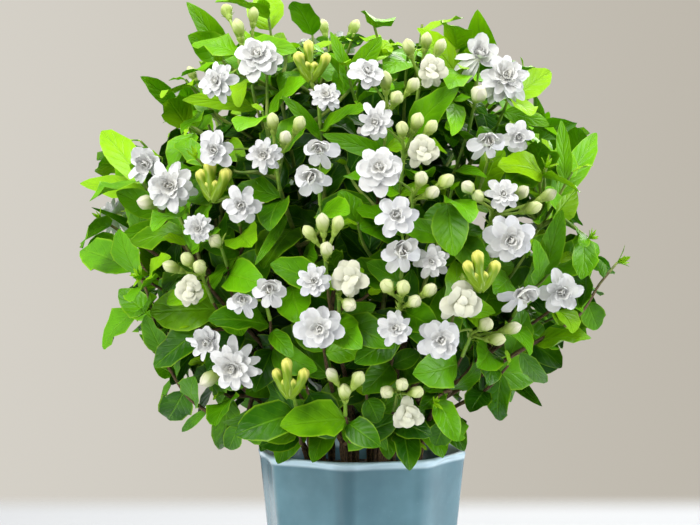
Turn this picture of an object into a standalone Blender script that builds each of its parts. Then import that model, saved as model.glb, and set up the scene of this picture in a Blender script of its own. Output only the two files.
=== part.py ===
# Potted arabian jasmine: an eight-sided glazed pot, its soil, leafy stems and flower sprays.
# Metres, +Z up, with the origin at the centre of the pot's underside and the front facing -Y.

import math
import random

import bmesh
import bpy
import numpy as np
from mathutils.bvhtree import BVHTree

mm = 0.001

# Pot, from its rim's rounded corners down to a narrower foot
potHeight = 150 * mm
rimRadius = 82.4 * mm
footRadius = 66.8 * mm
footEdge = 3 * mm
wall = 6.5 * mm
floorThickness = 8 * mm
lipDrop = 9 * mm
lipRound = 2.6 * mm
facets = 8
facetTurn = math.radians(-99)
cornerLimit = 0.985
cornerSharpness = 120
facetHollow = 0.9 * mm
lipFlatness = 0.6
turnSteps = 40

# Soil, a plug that follows the inside of the pot
soilDrop = 18 * mm
gap = 0.35 * mm
rootDepth = 24 * mm
insideRound = 3 * mm
soilGap = 1.3 * gap

# Holes for the stems: within this reach of the middle, spread between near and far by their lean
rimInside = 64 * mm
holeReach = 54 * mm
holeSpacing = 11.5 * mm
holeNear = 17 * mm
holeFar = 50 * mm
fullLean = 1.3

# Stems and stalks
stemRadius = 2.9 * mm
forkRadius = 1.8 * mm
twigRadius = 1.5 * mm
stalkRadius = 1.5 * mm
pedicelRadius = 0.9 * mm
footAside = 0.26
bloomBack = -0.42
stalkStep = 2.4 * mm
stalkRoot = 12 * mm
stalkBeyond = 1.6 * mm
bloomStalk = (19 * mm, 8 * mm)
budStalk = (8 * mm, 15 * mm)
stalkClearance = 0.3 * mm
twigClearance = 0.45 * mm
twigSides = 4
mainPoints = 6
sidePoints = 4
tries = 150

# Buds, as radius and length: round ones in a cup, and long gold ones
roundBud = (4.3 * mm, 10.6 * mm)
goldBud = (3.0 * mm, 15.5 * mm)
budSides = 5

# Petals round a bloom, by its radius, with three points round each
wideBloom = 14.5 * mm
manyPetals = 6
fewPetals = 5
backBloomWidth = (29, 38)
secondBloomWidth = 27 * mm
secondBloomAside = 24

# Leaves
bladeRise = 0.6 * mm
bladeKeel = 0.8 * mm
leafRoot = 0.3 * mm
petioleHalf = 1.0 * mm
leafLimit = 91
leafFloor = potHeight + 18 * mm
plannedLength = (14 * mm, 84 * mm)
plannedBend = 0.45
plannedDepths = (-4, 4, -12, 10, -20, 16, -28)
pairSpacing = (25, 31)
pairLength = (36, 52)
pairWidth = (0.54, 0.64)
pairOpening = (0.85, 1.25)
pairTries = 14
leafyShare = 0.72
shootInset = 16 * mm
sideShootReach = 0.88
sprayDepths = (0, 7, -7, 13, -13, 19, -19)
seed = 27

# The crown is a dome that the blooms sit on, seen from the front at the eye's distance
crownCentre = np.array([-8, 0, 322]) * mm
crownHalf = np.array([203, 165, 190]) * mm
eye = np.array([-8.6, -1100, 295]) * mm
upward = np.array([0.0, 0.0, 1.0])

# Flower sprays by leafy stem: across and height in mm, seen square on in the plane of the pot's
# axis, with each bloom's width. "half" blooms are still cupped, "gold" are long unopened buds.
sprayPlan = [
    dict(stem=1, open=[(-81, 455, 39), (-112, 436, 31)], buds=[(-105, 492), (-84, 489), (-96, 479)]),
    dict(stem=1, open=[(-27, 425, 25)], gold=[(-49, 454), (-41, 463), (-27, 453)]),
    dict(stem=2, open=[(5, 443, 28)], buds=[(19, 438), (28, 424), (41, 434)]),
    dict(stem=2, half=[(55, 446, 23)], buds=[(37, 464), (51, 469), (62, 464)]),
    dict(stem=3, open=[(93, 456, 27), (112, 439, 41)], buds=[(92, 427)]),
    dict(stem=4, open=[(11, 405, 30)], half=[(48, 383, 23)], buds=[(32, 400), (44, 406), (55, 401)]),
    dict(stem=5, open=[(-114, 383, 30), (-76, 379, 27)], buds=[(-69, 406), (-59, 393), (-48, 404)]),
    dict(stem=5, open=[(-32, 383, 30), (-39, 361, 31)]),
    dict(stem=4, open=[(14, 368, 41)], buds=[(47, 361), (56, 350), (67, 359)]),
    dict(stem=3, open=[(98, 389, 31), (122, 393, 25)]),
    dict(stem=6, open=[(-167, 372, 25), (-149, 354, 41)], buds=[(-168, 342)]),
    dict(stem=6, open=[(-94, 340, 30)], gold=[(-125, 362), (-118, 369), (-105, 363)]),
    dict(stem=6, open=[(-127, 322, 23)], buds=[(-114, 312)]),
    dict(stem=7, open=[(111, 348, 28)], buds=[(83, 354), (91, 347), (126, 350), (135, 338), (147, 348)]),
    dict(stem=8, open=[(28, 331, 34), (31, 303, 33), (55, 296, 28)]),
    dict(stem=7, open=[(116, 313, 39)]),
    dict(stem=9, buds=[(-41, 319), (-30, 327), (-18, 326), (-27, 306)]),
    dict(stem=10, half=[(-133, 274, 23)], buds=[(-149, 292), (-136, 298), (-126, 292)]),
    dict(stem=10, open=[(-71, 273, 28), (-92, 265, 25)]),
    dict(stem=9, open=[(-37, 281, 28), (-10, 283, 28)], buds=[(-9, 262)]),
    dict(stem=13, open=[(-33, 244, 39)]),
    dict(stem=14, open=[(26, 244, 30)], buds=[(20, 277), (33, 276), (42, 265), (54, 274)]),
    dict(stem=11, open=[(62, 235, 36)], buds=[(98, 247), (107, 235), (119, 244)]),
    dict(stem=8, half=[(78, 266, 30)], gold=[(83, 291), (91, 299), (105, 291)]),
    dict(stem=11, open=[(125, 270, 34), (156, 272, 34)]),
    dict(stem=12, open=[(-119, 233, 23), (-99, 214, 41)], buds=[(-119, 204)]),
    dict(stem=12, gold=[(-66, 207), (-58, 215), (-44, 207)]),
    dict(stem=13, buds=[(-23, 208), (-13, 195), (-2, 205)]),
    dict(stem=14, half=[(36, 177, 23)], buds=[(20, 194), (32, 200), (44, 194)]),
]

# Leafy shoots that carry no flower: the stem they grow from and the points that they pass
shootPlan = [
    (1, [(-93, 464)]), (1, [(-73, 492)]), (2, [(-12, 449)]), (2, [(80, 447)]),
    (3, [(118, 430)]), (6, [(-175, 366)]), (7, [(165, 366)]), (7, [(155, 296)]),
    (12, [(-107, 193)]), (11, [(115, 215)]), (13, [(-43, 198)]), (14, [(4, 193)]),
    (14, [(37, 156)]), (14, [(69, 173)]), (10, [(-137, 309)]), (8, [(71, 352)]), (5, [(-77, 414)]),
    (12, [(-94, 169), (-128, 184), (-147, 208), (-157, 231), (-167, 272), (-179, 293)]),
    (11, [(124, 226), (167, 251), (186, 278), (200, 295)]),
]

# The leaves that make the outline and the front: root, tip and width, in mm as above
leafPlan = [
    ((-101, 473), (-136, 498), 20), ((-98, 453), (-135, 472), 27), ((-87, 471), (-77, 505), 30),
    ((-74, 494), (-50, 460), 23), ((-22, 444), (16, 471), 17), ((-7, 460), (-24, 475), 12),
    ((-36, 439), (-69, 444), 12), ((-38, 418), (-62, 425), 12), ((9, 389), (-30, 395), 16),
    ((-132, 420), (-172, 440), 17), ((-100, 413), (-139, 422), 17), ((81, 447), (91, 492), 28),
    ((79, 447), (44, 478), 25), ((115, 441), (148, 444), 22), ((112, 416), (147, 402), 16),
    ((38, 413), (76, 432), 27), ((62, 422), (71, 394), 20), ((164, 368), (156, 406), 14),
    ((165, 368), (184, 396), 20), ((-176, 369), (-202, 398), 25), ((-187, 355), (-219, 357), 21),
    ((-157, 333), (-191, 350), 23), ((-147, 318), (-187, 316), 17), ((-179, 294), (-218, 305), 30),
    ((-81, 305), (-123, 308), 19), ((-69, 327), (-83, 293), 9), ((71, 352), (73, 300), 31),
    ((165, 364), (144, 335), 23), ((154, 296), (185, 309), 28), ((155, 296), (157, 336), 20),
    ((152, 294), (135, 313), 19), ((169, 272), (185, 243), 20), ((50, 372), (98, 361), 12),
    ((-147, 252), (-189, 274), 22), ((-151, 223), (-168, 254), 20), ((-151, 222), (-173, 239), 9),
    ((-144, 210), (-162, 216), 16), ((-133, 198), (-151, 173), 27), ((-121, 213), (-141, 219), 8),
    ((-143, 240), (-131, 223), 13), ((-121, 178), (-140, 163), 8), ((-108, 194), (-108, 150), 24),
    ((-90, 169), (-103, 149), 17), ((-61, 227), (-83, 194), 27), ((-57, 243), (-53, 221), 16),
    ((-46, 198), (-73, 155), 14), ((-38, 198), (-20, 158), 33), ((1, 193), (14, 170), 20),
    ((19, 171), (22, 141), 17), ((8, 177), (20, 148), 11), ((37, 156), (33, 134), 19),
    ((71, 173), (58, 152), 21), ((67, 190), (46, 180), 17), ((93, 200), (85, 178), 23),
    ((116, 216), (107, 172), 23), ((101, 208), (141, 183), 14), ((124, 222), (144, 201), 17),
    ((140, 250), (160, 244), 11), ((190, 286), (181, 299), 10), ((-179, 296), (-210, 338), 7),
]

# Sprays on the far side: turn about the crown's axis from straight back, height on the crown
backPlan = [
    (15, -1.25, 0.1), (15, -0.95, 0.62), (15, -0.75, -0.35), (16, -0.35, 0.3), (16, -0.1, 0.85),
    (16, -0.2, -0.3), (17, 0.35, 0.55), (17, 0.45, -0.1), (18, 0.95, 0.3), (18, 1.2, -0.25),
]

# Leafy shoots at the top and the sides, placed as the sprays on the far side are
sideShootPlan = [
    (3, 1.35, 0.78), (17, 0.9, 0.8), (2, 1.6, 0.95), (16, 0.3, 0.93), (16, -0.8, 0.97),
    (1, -1.5, 0.6), (15, -1.4, -0.62), (6, -1.7, -0.35), (18, 1.45, 0.5), (1, -1.5, 0.83),
    (2, 2.9, 0.93), (15, -0.9, 0.15), (16, -0.1, 0.5), (17, 0.08, 0.05), (18, 0.85, -0.72),
]


def unit(vector):
    return vector / np.linalg.norm(vector)


# Crown geometry


def crownNormal(point):
    return unit((point - crownCentre) / crownHalf**2)


def onCrown(across, height, proud=0.0):
    """The point of the crown's front that appears at a place seen square on."""
    ray = np.array([across, 0, height]) * mm - eye
    depth = -crownHalf[1]
    for _ in range(14):
        point = eye + ray * (depth - eye[1]) / -eye[1]
        away = (point - crownCentre) / crownHalf
        depth = -crownHalf[1] * math.sqrt(max(1 - away[0] ** 2 - away[2] ** 2, 0.05))
        depth -= proud
    return eye + ray * (depth - eye[1]) / -eye[1]


def onDome(turn, height, share):
    """The point at a turn from straight back and at a height, each as a share of the crown's size."""
    level = math.sqrt(1 - height**2)
    outer = np.array([level * math.sin(turn), level * math.cos(turn), height])
    return crownCentre + crownHalf * outer * share


def nearness(point):
    """How much smaller a thing is than it looks in the plane of the pot's axis."""
    return (point[1] - eye[1]) / -eye[1]


# Simple closed shapes that stand for each piece while the plant is laid out, a little oversize


def tubeShape(path, radii, sides=5):
    """A ring of points round each point of the path, joined ring to ring, with a fan at each end."""
    path = np.asarray(path)
    tangent = np.gradient(path, axis=0)
    tangent /= np.linalg.norm(tangent, axis=1)[:, None]
    across = np.cross(tangent, [0.31, 0.87, 0.38])
    across /= np.linalg.norm(across, axis=1)[:, None]
    other = np.cross(tangent, across)
    turn = np.arange(sides) * 2 * math.pi / sides
    ring = np.cos(turn)[None, :, None] * across[:, None] + np.sin(turn)[None, :, None] * other[:, None]
    points = path[:, None] + ring * np.asarray(radii)[:, None, None]
    points = np.vstack([points.reshape(-1, 3), path[0], path[-1]])
    faces = []
    for row in range(len(path) - 1):
        for side in range(sides):
            a = row * sides + side
            b = row * sides + (side + 1) % sides
            faces += [(a, b, b + sides), (a, b + sides, a + sides)]
    first = len(points) - 2
    last = len(points) - 1
    end = (len(path) - 1) * sides
    for side in range(sides):
        faces.append((first, (side + 1) % sides, side))
        faces.append((last, end + side, end + (side + 1) % sides))
    return points, faces


def turnedShape(centre, axis, profile, sides=7):
    """A profile of (radius, height) pairs turned round an axis."""
    path = [centre + axis * height for _, height in profile]
    across = unit(np.cross(axis, [0.2, 0.5, 0.84]))
    other = np.cross(axis, across)
    turn = np.arange(sides) * 2 * math.pi / sides
    ring = np.cos(turn)[:, None] * across + np.sin(turn)[:, None] * other
    points = np.vstack([place + ring * radius for place, (radius, _) in zip(path, profile)])
    points = np.vstack([points, path[0], path[-1]])
    count = len(profile)
    faces = []
    for row in range(count - 1):
        for side in range(sides):
            a = row * sides + side
            b = row * sides + (side + 1) % sides
            faces += [(a, b, b + sides), (a, b + sides, a + sides)]
    for side in range(sides):
        faces.append((count * sides, (side + 1) % sides, side))
        end = (count - 1) * sides
        faces.append((count * sides + 1, end + side, end + (side + 1) % sides))
    return points, faces


def leafOutline(along):
    """Half-width of an ovate leaf as a share of its widest, narrow at the root and acute at the tip."""
    blade = np.clip((along - 0.04) / 0.96, 0, 1)
    return 2.424 * blade**0.55 * (1 - blade) ** 0.75


def leafSurface(leaf, along, across, lift, grow=0.0):
    """Points of a leaf: a spine that bends down from its root, folded and waved to each side."""
    bend = leaf["bend"]
    up = leaf["up"]
    ahead = leaf["ahead"]
    side = np.cross(ahead, up)
    turn = bend * along
    reach = (leaf["length"] + grow) * np.sin(turn) / bend
    droop = leaf["length"] * (1 - np.cos(turn)) / bend
    normal = np.cos(turn)[:, None] * up + np.sin(turn)[:, None] * ahead
    petiole = petioleHalf * (along > 0) * (along < 1)
    half = np.maximum(leaf["width"] / 2 * leafOutline(along), petiole) + grow
    wave = leaf["wave"] * np.sin(9 * along + leaf["phase"] + across) * half
    rise = abs(across) * half * math.sin(leaf["fold"]) + across**2 * wave + lift
    spread = across * half * math.cos(leaf["fold"])
    spine = leaf["root"] + reach[:, None] * ahead - droop[:, None] * up
    return spine + spread[:, None] * side + rise[:, None] * normal


leafStations = [0.0, 0.04, 0.33, 0.70, 1.0]


def leafShape(leaf, grow=0.0):
    """Closed faces of a leaf: three points across each inner station, top and keel, one at each end."""
    along = []
    across = []
    lift = []
    for station in leafStations[1:-1]:
        along += [station] * 4
        across += [1, 0, -1, 0]
        lift += [0, bladeRise + grow, 0, -bladeKeel - grow]
    along = np.array([0.0] + along + [1.0])
    across = np.array([0.0] + across + [0.0])
    lift = np.array([0.0] + lift + [0.0])
    points = leafSurface(leaf, along, across, lift, grow)
    faces = []
    for side in range(4):
        after = (side + 1) % 4
        faces.append((0, 1 + side, 1 + after))
        for row in (0, 1):
            a = 1 + row * 4 + side
            b = 1 + row * 4 + after
            if side in (0, 2):
                faces += [(a, a + 4, b + 4), (a, b + 4, b)]
            else:
                faces += [(a, a + 4, b), (b, a + 4, b + 4)]
        faces.append((9 + side, 13, 9 + after))
    return points, faces


class Room:
    """What is placed so far, as closed shapes that a new one has to clear."""

    def __init__(self):
        self.trees = []
        self.owners = []
        self.lows = np.zeros((0, 3))
        self.highs = np.zeros((0, 3))

    def clear(self, shapes, skip=None):
        for points, faces in shapes:
            low = points.min(axis=0)
            high = points.max(axis=0)
            near = np.all((self.lows < high) & (self.highs > low), axis=1)
            tree = None
            for index in np.flatnonzero(near):
                if self.owners[index] == skip:
                    continue
                tree = tree or BVHTree.FromPolygons(points.tolist(), faces)
                if tree.overlap(self.trees[index]):
                    return False
        return True

    def add(self, owner, shapes):
        for points, faces in shapes:
            self.trees.append(BVHTree.FromPolygons(points.tolist(), faces))
            self.owners.append(owner)
            self.lows = np.vstack([self.lows, points.min(axis=0)])
            self.highs = np.vstack([self.highs, points.max(axis=0)])


# Layout of the flower sprays


def bloomAt(place, width, opened, draw):
    facing = crownNormal(place)
    toEye = unit(eye - place)
    if place[1] < 0.02:  # blooms on the front turn part of the way to the eye
        facing = unit(0.45 * facing + 0.55 * toEye)
    tilt = np.array([draw.uniform(-0.22, 0.22) for _ in range(3)])
    return dict(
        centre=place, axis=unit(facing + tilt), radius=width / 2, opened=opened, turn=draw.uniform(0, 6.28)
    )


def budAt(place, long, draw):
    size = draw.uniform(0.92, 1.08)
    radius, length = goldBud if long else roundBud
    return dict(place=place, radius=radius * size, length=length * size, long=long)


def laySpray(blooms, buds):
    """Gives a spray its joint, where the stalks meet, and its root, where it leaves the twig."""
    settle(blooms, buds)
    places = np.array([bloom["centre"] for bloom in blooms] + [bud["place"] for bud in buds])
    middle = places.mean(axis=0)
    outward = crownNormal(middle)
    inward, down = bloomStalk if blooms else budStalk
    joint = middle - inward * outward - down * upward
    heading = unit(0.55 * outward + 0.83 * upward)
    root = joint - (stalkRoot + stalkStep * len(places)) * heading
    for rank, member in enumerate(blooms + buds):
        member["root"] = joint - rank * stalkStep * heading
    for bud in buds:
        bud["axis"] = unit(bud["place"] - bud["root"])
    return dict(blooms=blooms, buds=buds, joint=joint, root=root, heading=heading)


def settle(blooms, buds):
    """Slides the members of a spray back along the line of sight until none crosses another."""
    room = Room()
    for member in sorted(blooms, key=lambda bloom: -bloom["radius"]) + buds:
        spot = "centre" if "centre" in member else "place"
        sight = unit(member[spot] - eye)
        for _ in range(9):
            if spot == "centre":
                shape = bloomProxy(member)
            else:
                half = 0.5 * member["length"] * upward
                shape = tubeShape([member["place"] - half, member["place"] + half], [member["radius"]] * 2)
            if room.clear([shape]):
                break
            member[spot] = member[spot] + 3 * mm * sight
        room.add("member", [shape])


def frontSpray(plan, forward, draw):
    blooms = []
    for across, height, width in plan.get("open", []):
        place = onCrown(across, height, 3 * mm + forward)
        blooms.append(bloomAt(place, width * mm * nearness(place), 1.0, draw))
    for across, height, width in plan.get("half", []):
        place = onCrown(across, height, forward)
        blooms.append(bloomAt(place, 1.12 * width * mm * nearness(place), 0.0, draw))
    buds = [budAt(onCrown(x, z, forward), False, draw) for x, z in plan.get("buds", [])]
    buds += [budAt(onCrown(x, z, forward), True, draw) for x, z in plan.get("gold", [])]
    return laySpray(blooms, buds)


def backSpray(turn, height, forward, draw):
    """One or two blooms and two buds round a point of the crown's far side."""
    middle = onDome(turn, height, 1 + forward / 0.17)
    outward = crownNormal(middle)
    across = unit(np.cross(upward, outward))
    climb = np.cross(outward, across)
    width = draw.uniform(*backBloomWidth) * mm
    blooms = [bloomAt(middle - 8 * mm * climb, width, 1.0, draw)]
    if draw.random() < 0.5:
        aside = draw.choice([-secondBloomAside, secondBloomAside]) * mm
        second = middle - 12 * mm * climb + aside * across
        blooms.append(bloomAt(second, secondBloomWidth, draw.choice([0.0, 1.0]), draw))
    buds = []
    for step in (-1, 1):
        place = middle + 15 * mm * climb + 13 * mm * step * across
        buds.append(budAt(place, False, draw))
    return laySpray(blooms, buds)


def bloomFoot(bloom):
    """Where the pedicel enters the back of a bloom, a little to the side that it comes from."""
    rim, reach, _ = bloomForm(bloom["opened"])
    under = bloomBack + (rim - bloomBack) * footAside / reach
    toward = bloom["root"] - bloom["centre"]
    aside = unit(toward - (toward @ bloom["axis"]) * bloom["axis"] + 1e-6 * upward)
    return bloom["centre"] + bloom["radius"] * (under * bloom["axis"] + footAside * aside)


def bloomForm(opened):
    """Heights of a bloom's rim and inner petals and the reach of its rim, as shares of its radius."""
    return 0.05 + 0.5 * (1 - opened), 0.78 + 0.22 * opened, 0.42 + 0.38 * (1 - opened)


def bloomProxy(bloom):
    r = bloom["radius"] + 2 * stalkClearance
    rim, reach, crest = bloomForm(bloom["opened"])
    shares = [
        (0.05, bloomBack - 0.05),
        (reach, rim - 0.06),
        (reach, rim + 0.1),
        (0.66, crest + 0.05),
        (0.05, crest + 0.05),
    ]
    profile = [(across * r, height * r) for across, height in shares]
    return turnedShape(bloom["centre"], bloom["axis"], profile, 9)


def sprayShapes(spray):
    grow = stalkClearance
    shapes = [tubeShape([spray["root"], spray["joint"]], [stalkRadius + grow] * 2)]
    for bloom in spray["blooms"]:
        shapes.append(bloomProxy(bloom))
        shapes.append(tubeShape([bloom["root"], bloomFoot(bloom)], [pedicelRadius + grow] * 2))
    for bud in spray["buds"]:
        shapes.append(budShape(bud, grow))
    return shapes


def budProfile(bud):
    """Radius and distance along a bud from its centre: a stalk that widens to the cup, then the bud."""
    back = -np.linalg.norm(bud["place"] - bud["root"])
    if bud["long"]:
        rings = [(0.62, -0.36), (1.0, 0.18)]
    else:
        rings = [(0.8, -0.32), (0.9, 0.2)]
    profile = [(share * bud["radius"], place * bud["length"]) for share, place in rings]
    return back, profile, 0.5 * bud["length"]


def budShape(bud, grow=0.0):
    back, profile, front = budProfile(bud)
    profile = [(radius + grow, height) for radius, height in profile]
    profile = [(pedicelRadius + grow, back)] + profile + [(grow, front + grow)]
    return turnedShape(bud["place"], bud["axis"], profile, 6)


# Layout of the stems


def bezier(start, leave, arrive, end, count):
    t = np.linspace(0, 1, count)[:, None]
    return (1 - t) ** 3 * start + 3 * t * (1 - t) ** 2 * leave + 3 * t**2 * (1 - t) * arrive + t**3 * end


def throughPoints(points, count):
    """A smooth line through the points, with its slope at each from its neighbours."""
    points = np.asarray(points)
    slope = np.gradient(points, axis=0)
    pieces = []
    for i in range(len(points) - 1):
        leave = points[i] + slope[i] / 3
        arrive = points[i + 1] - slope[i + 1] / 3
        pieces.append(bezier(points[i], leave, arrive, points[i + 1], count)[:-1])
    return np.vstack(pieces + [points[-1:]])


def soilPlace(stem, middles):
    """A stem's hole, on the side that it leans to, nearer the rim the lower it leans."""
    middle = middles[stem]
    turn = math.atan2(middle[1], middle[0] - 0.2 * crownCentre[0])
    lean = math.hypot(middle[0], middle[1]) / max(middle[2] - potHeight, 0.03)
    ring = holeNear + (holeFar - holeNear) * min(lean, fullLean) / fullLean
    return np.array([ring * math.cos(turn), ring * math.sin(turn)])


def spreadHoles(places, apart):
    """Pushes holes that crowd each other apart, a little at a time."""
    places = places.copy()
    for _ in range(200):
        for i in range(len(places)):
            for j in range(i):
                between = places[i] - places[j]
                distance = max(np.linalg.norm(between), 1e-6)
                if distance < apart:
                    push = between / distance * (apart - distance) * 0.3
                    places[i] += push
                    places[j] -= push
        reach = np.linalg.norm(places, axis=1)
        far = reach > holeReach
        places[far] *= (holeReach / reach[far])[:, None]
    return places


def layStems(ends, room, draw):
    """One main line from the soil to each stem's highest end, and a side twig to each other end."""
    middles = {stem: np.mean([end["root"] for end in ends[stem]], axis=0) for stem in ends}
    order = sorted(middles)
    holes = np.array([soilPlace(stem, middles) for stem in order])
    holes = spreadHoles(holes, holeSpacing)
    soilTop = potHeight - soilDrop
    stems = []
    for stem, hole in zip(order, holes):
        targets = sorted(ends[stem], key=lambda end: -end["root"][2] + (0.2 if end["via"] else 0))
        ground = np.array([hole[0], hole[1], soilTop])
        lines = []
        for rank, end in enumerate(targets):
            best = None
            for attempt in range(tries):
                loose = attempt / tries
                if rank == 0:
                    line, radii = mainLine(ground, end, loose, draw)
                else:
                    line, radii = sideLine(lines[0]["path"], end, loose, draw)
                shape, inPot = openPart(line, radii)
                own = f"stem{stem}"
                if inPot and room.clear([shape], skip=own):
                    best = (line, radii, shape)
                    break
            if best is None:
                print("no clear way for a twig of stem", stem, "to", np.round(end["root"] / mm))
                best = (line, radii, shape)
            line, radii, shape = best
            room.add(own, [shape])
            lines.append(dict(path=line, radii=radii))
        stems.append(dict(name=f"stem_{stem:02d}", number=stem, ground=ground, lines=lines, leaves=[]))
    return stems


def openPart(line, radii):
    """A twig's part above the pot, a little oversize, and whether the rest stays inside the pot."""
    spots = np.linspace(0, len(line) - 1, 5 * len(line))
    fine = np.array([np.interp(spots, range(len(line)), line[:, k]) for k in range(3)]).T
    thick = np.interp(spots, range(len(line)), radii) + twigClearance
    below = fine[:, 2] < potHeight + 2 * mm
    inPot = bool(np.all(np.hypot(fine[below, 0], fine[below, 1]) < rimInside))
    return tubeShape(fine[~below], thick[~below]), inPot


def mainLine(ground, end, loose, draw):
    tip = end["root"] - gap * end["heading"]
    length = np.linalg.norm(tip - ground)
    sway = np.array([draw.uniform(-1, 1), draw.uniform(-1, 1), 0]) * 90 * mm * loose
    leave = ground + upward * length * (0.4 - 0.25 * loose * draw.random()) + sway * 0.6
    arrive = tip - end["heading"] * length * (0.28 + 0.2 * loose * draw.random()) + sway * 0.4
    path = bezier(ground, leave, arrive, tip, mainPoints)
    radii = np.linspace(stemRadius, twigRadius, mainPoints)
    below = ground - upward * rootDepth
    path = np.vstack([below, path])
    return path, [stemRadius] + radii.tolist()


def sideLine(main, end, loose, draw):
    tip = end["root"] - gap * end["heading"]
    upper = main[2:-1]
    reach = np.linalg.norm(upper[:, :2] - tip[:2], axis=1)
    drop = tip[2] - upper[:, 2]
    cost = abs(drop - 0.75 * reach) + 0.25 * reach
    cost = cost + np.array([loose * draw.random() * 0.12 for _ in upper])
    pick = int(np.argmin(cost))
    start = upper[pick]
    if end["via"]:
        path = throughPoints([start, *end["via"], tip], 2)
        return path, np.linspace(forkRadius, twigRadius, len(path)).tolist()
    forward = unit(upper[min(pick + 1, len(upper) - 1)] - main[pick + 1])
    length = np.linalg.norm(tip - start)
    sway = np.array([draw.uniform(-1, 1) for _ in range(3)]) * 60 * mm * loose
    leave = start + unit(forward + unit(tip - start)) * length * 0.35 + sway
    arrive = tip - end["heading"] * length * 0.3 + sway * 0.5
    path = bezier(start, leave, arrive, tip, sidePoints)
    return path, np.linspace(forkRadius, twigRadius, sidePoints).tolist()


# Layout of the leaves


def makeLeaf(root, ahead, face, length, width, draw, bend=None):
    ahead = unit(ahead)
    up = unit(face - (face @ ahead) * ahead)
    return dict(
        root=root - leafRoot * ahead,
        ahead=ahead,
        up=up,
        length=length,
        width=width,
        bend=bend if bend is not None else draw.uniform(0.35, 0.95),
        fold=draw.uniform(0.12, 0.32),
        wave=draw.uniform(0.04, 0.12),
        phase=draw.uniform(0, 6.28),
    )


def leafMiddle(leaf):
    return leaf["root"] + 0.5 * leaf["length"] * leaf["ahead"]


def placePlanned(stems, room, draw):
    """Each planned leaf grows from a twig near its root and ends at its tip, where that is clear."""
    placed = 0
    samples = []
    for index, stem in enumerate(stems):
        for line in stem["lines"]:
            path = line["path"][2:] if line is stem["lines"][0] else line["path"][1:]
            for first, last in zip(path[:-1], path[1:]):
                for share in (0, 0.25, 0.5, 0.75):
                    samples.append((index, first + share * (last - first)))
    points = np.array([point for _, point in samples])
    seen = eye + (points - eye) / ((points[:, 1] - eye[1]) / -eye[1])[:, None]
    for (rootX, rootZ), (tipX, tipZ), width in leafPlan:
        done = False
        for proud in plannedDepths:
            tip = onCrown(tipX, tipZ, proud * mm)
            off = np.hypot(seen[:, 0] - rootX * mm, seen[:, 2] - rootZ * mm)
            cost = off + 0.4 * np.linalg.norm(points - tip, axis=1)
            for pick in np.argsort(cost)[:3]:
                index, root = samples[pick]
                ahead = tip - root
                length = np.linalg.norm(ahead)
                if not plannedLength[0] < length < plannedLength[1]:
                    continue
                roll = np.array([draw.uniform(-0.35, 0.35), 0, draw.uniform(-0.35, 0.35)])
                face = unit(eye - tip) + 0.35 * upward + roll
                wide = width * mm * nearness(tip)
                leaf = makeLeaf(root, ahead, face, length * 1.02, wide, draw, plannedBend)
                leaf["ahead"] = unit(leaf["ahead"] + 0.5 * plannedBend * leaf["up"])
                leaf["up"] = unit(leaf["up"] - (leaf["up"] @ leaf["ahead"]) * leaf["ahead"])
                shape = leafShape(leaf, gap)
                if leafClear(shape, stems[index], room):
                    room.add("leaf", [shape])
                    stems[index]["leaves"].append(leaf)
                    done = True
                    break
            if done:
                break
        placed += done
    return placed


def leafClear(shape, stem, room):
    """Clear of everything but the wood of its own stem."""
    return room.clear([shape], skip=f"stem{stem['number']}")


def pairPlaces(line, first, spacing):
    """Places of leaf pairs along a twig, measured back from its tip."""
    path = line["path"]
    steps = np.linalg.norm(np.diff(path[::-1], axis=0), axis=1)
    run = np.concatenate([[0], np.cumsum(steps)])
    total = run[-1]
    places = []
    distance = first
    while distance < leafyShare * total:
        point = np.array([np.interp(distance, run, path[::-1][:, k]) for k in range(3)])
        before = np.array([np.interp(distance + 4 * mm, run, path[::-1][:, k]) for k in range(3)])
        places.append((point, unit(point - before)))
        distance += spacing
    return places


def placePairs(stems, room, limit, draw):
    """Opposite pairs along every twig, each a quarter turn from the last, the barest places first."""
    nodes = []
    for stem in stems:
        for line in stem["lines"]:
            turn = draw.uniform(0, math.pi)
            spacing = draw.uniform(*pairSpacing) * mm
            places = pairPlaces(line, draw.uniform(6, 10) * mm, spacing)
            for rank, (point, along) in enumerate(places):
                if point[2] > leafFloor:
                    nodes.append((stem, point, along, turn + rank * math.pi / 2))
    points = np.array([node[1] for node in nodes])
    bare = np.full(len(nodes), np.inf)
    placed = [leaf for stem in stems for leaf in stem["leaves"]]
    for leaf in placed:
        bare = np.minimum(bare, np.linalg.norm(points - leafMiddle(leaf), axis=1))
    count = len(placed)
    while count < limit and bare.max() > 0:
        pick = int(np.argmax(bare))
        bare[pick] = 0
        stem, point, along, turn = nodes[pick]
        across = unit(np.cross(along, [0.6, 0.3, 0.74]))
        other = np.cross(along, across)
        outward = crownNormal(point)
        for half in (0, math.pi):
            length = draw.uniform(*pairLength) * mm
            for attempt in range(pairTries):
                swing = turn + half + (0.35 * attempt) * (1 if attempt % 2 else -1)
                away = math.cos(swing) * across + math.sin(swing) * other
                opening = draw.uniform(*pairOpening)
                ahead = unit(math.cos(opening) * along + math.sin(opening) * away + 0.3 * outward)
                tilt = np.array([draw.uniform(-1, 1) for _ in range(3)])
                face = 0.7 * outward + 0.55 * upward + 0.25 * tilt
                size = length * (1 - 0.03 * attempt)
                leaf = makeLeaf(point, ahead, face, size, size * draw.uniform(*pairWidth), draw)
                shape = leafShape(leaf, gap)
                if shape[0][:, 2].min() < potHeight + 3 * mm:
                    continue
                if leafClear(shape, stem, room):
                    room.add("leaf", [shape])
                    stem["leaves"].append(leaf)
                    bare = np.minimum(bare, np.linalg.norm(points - leafMiddle(leaf), axis=1))
                    count += 1
                    break
    return count


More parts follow.
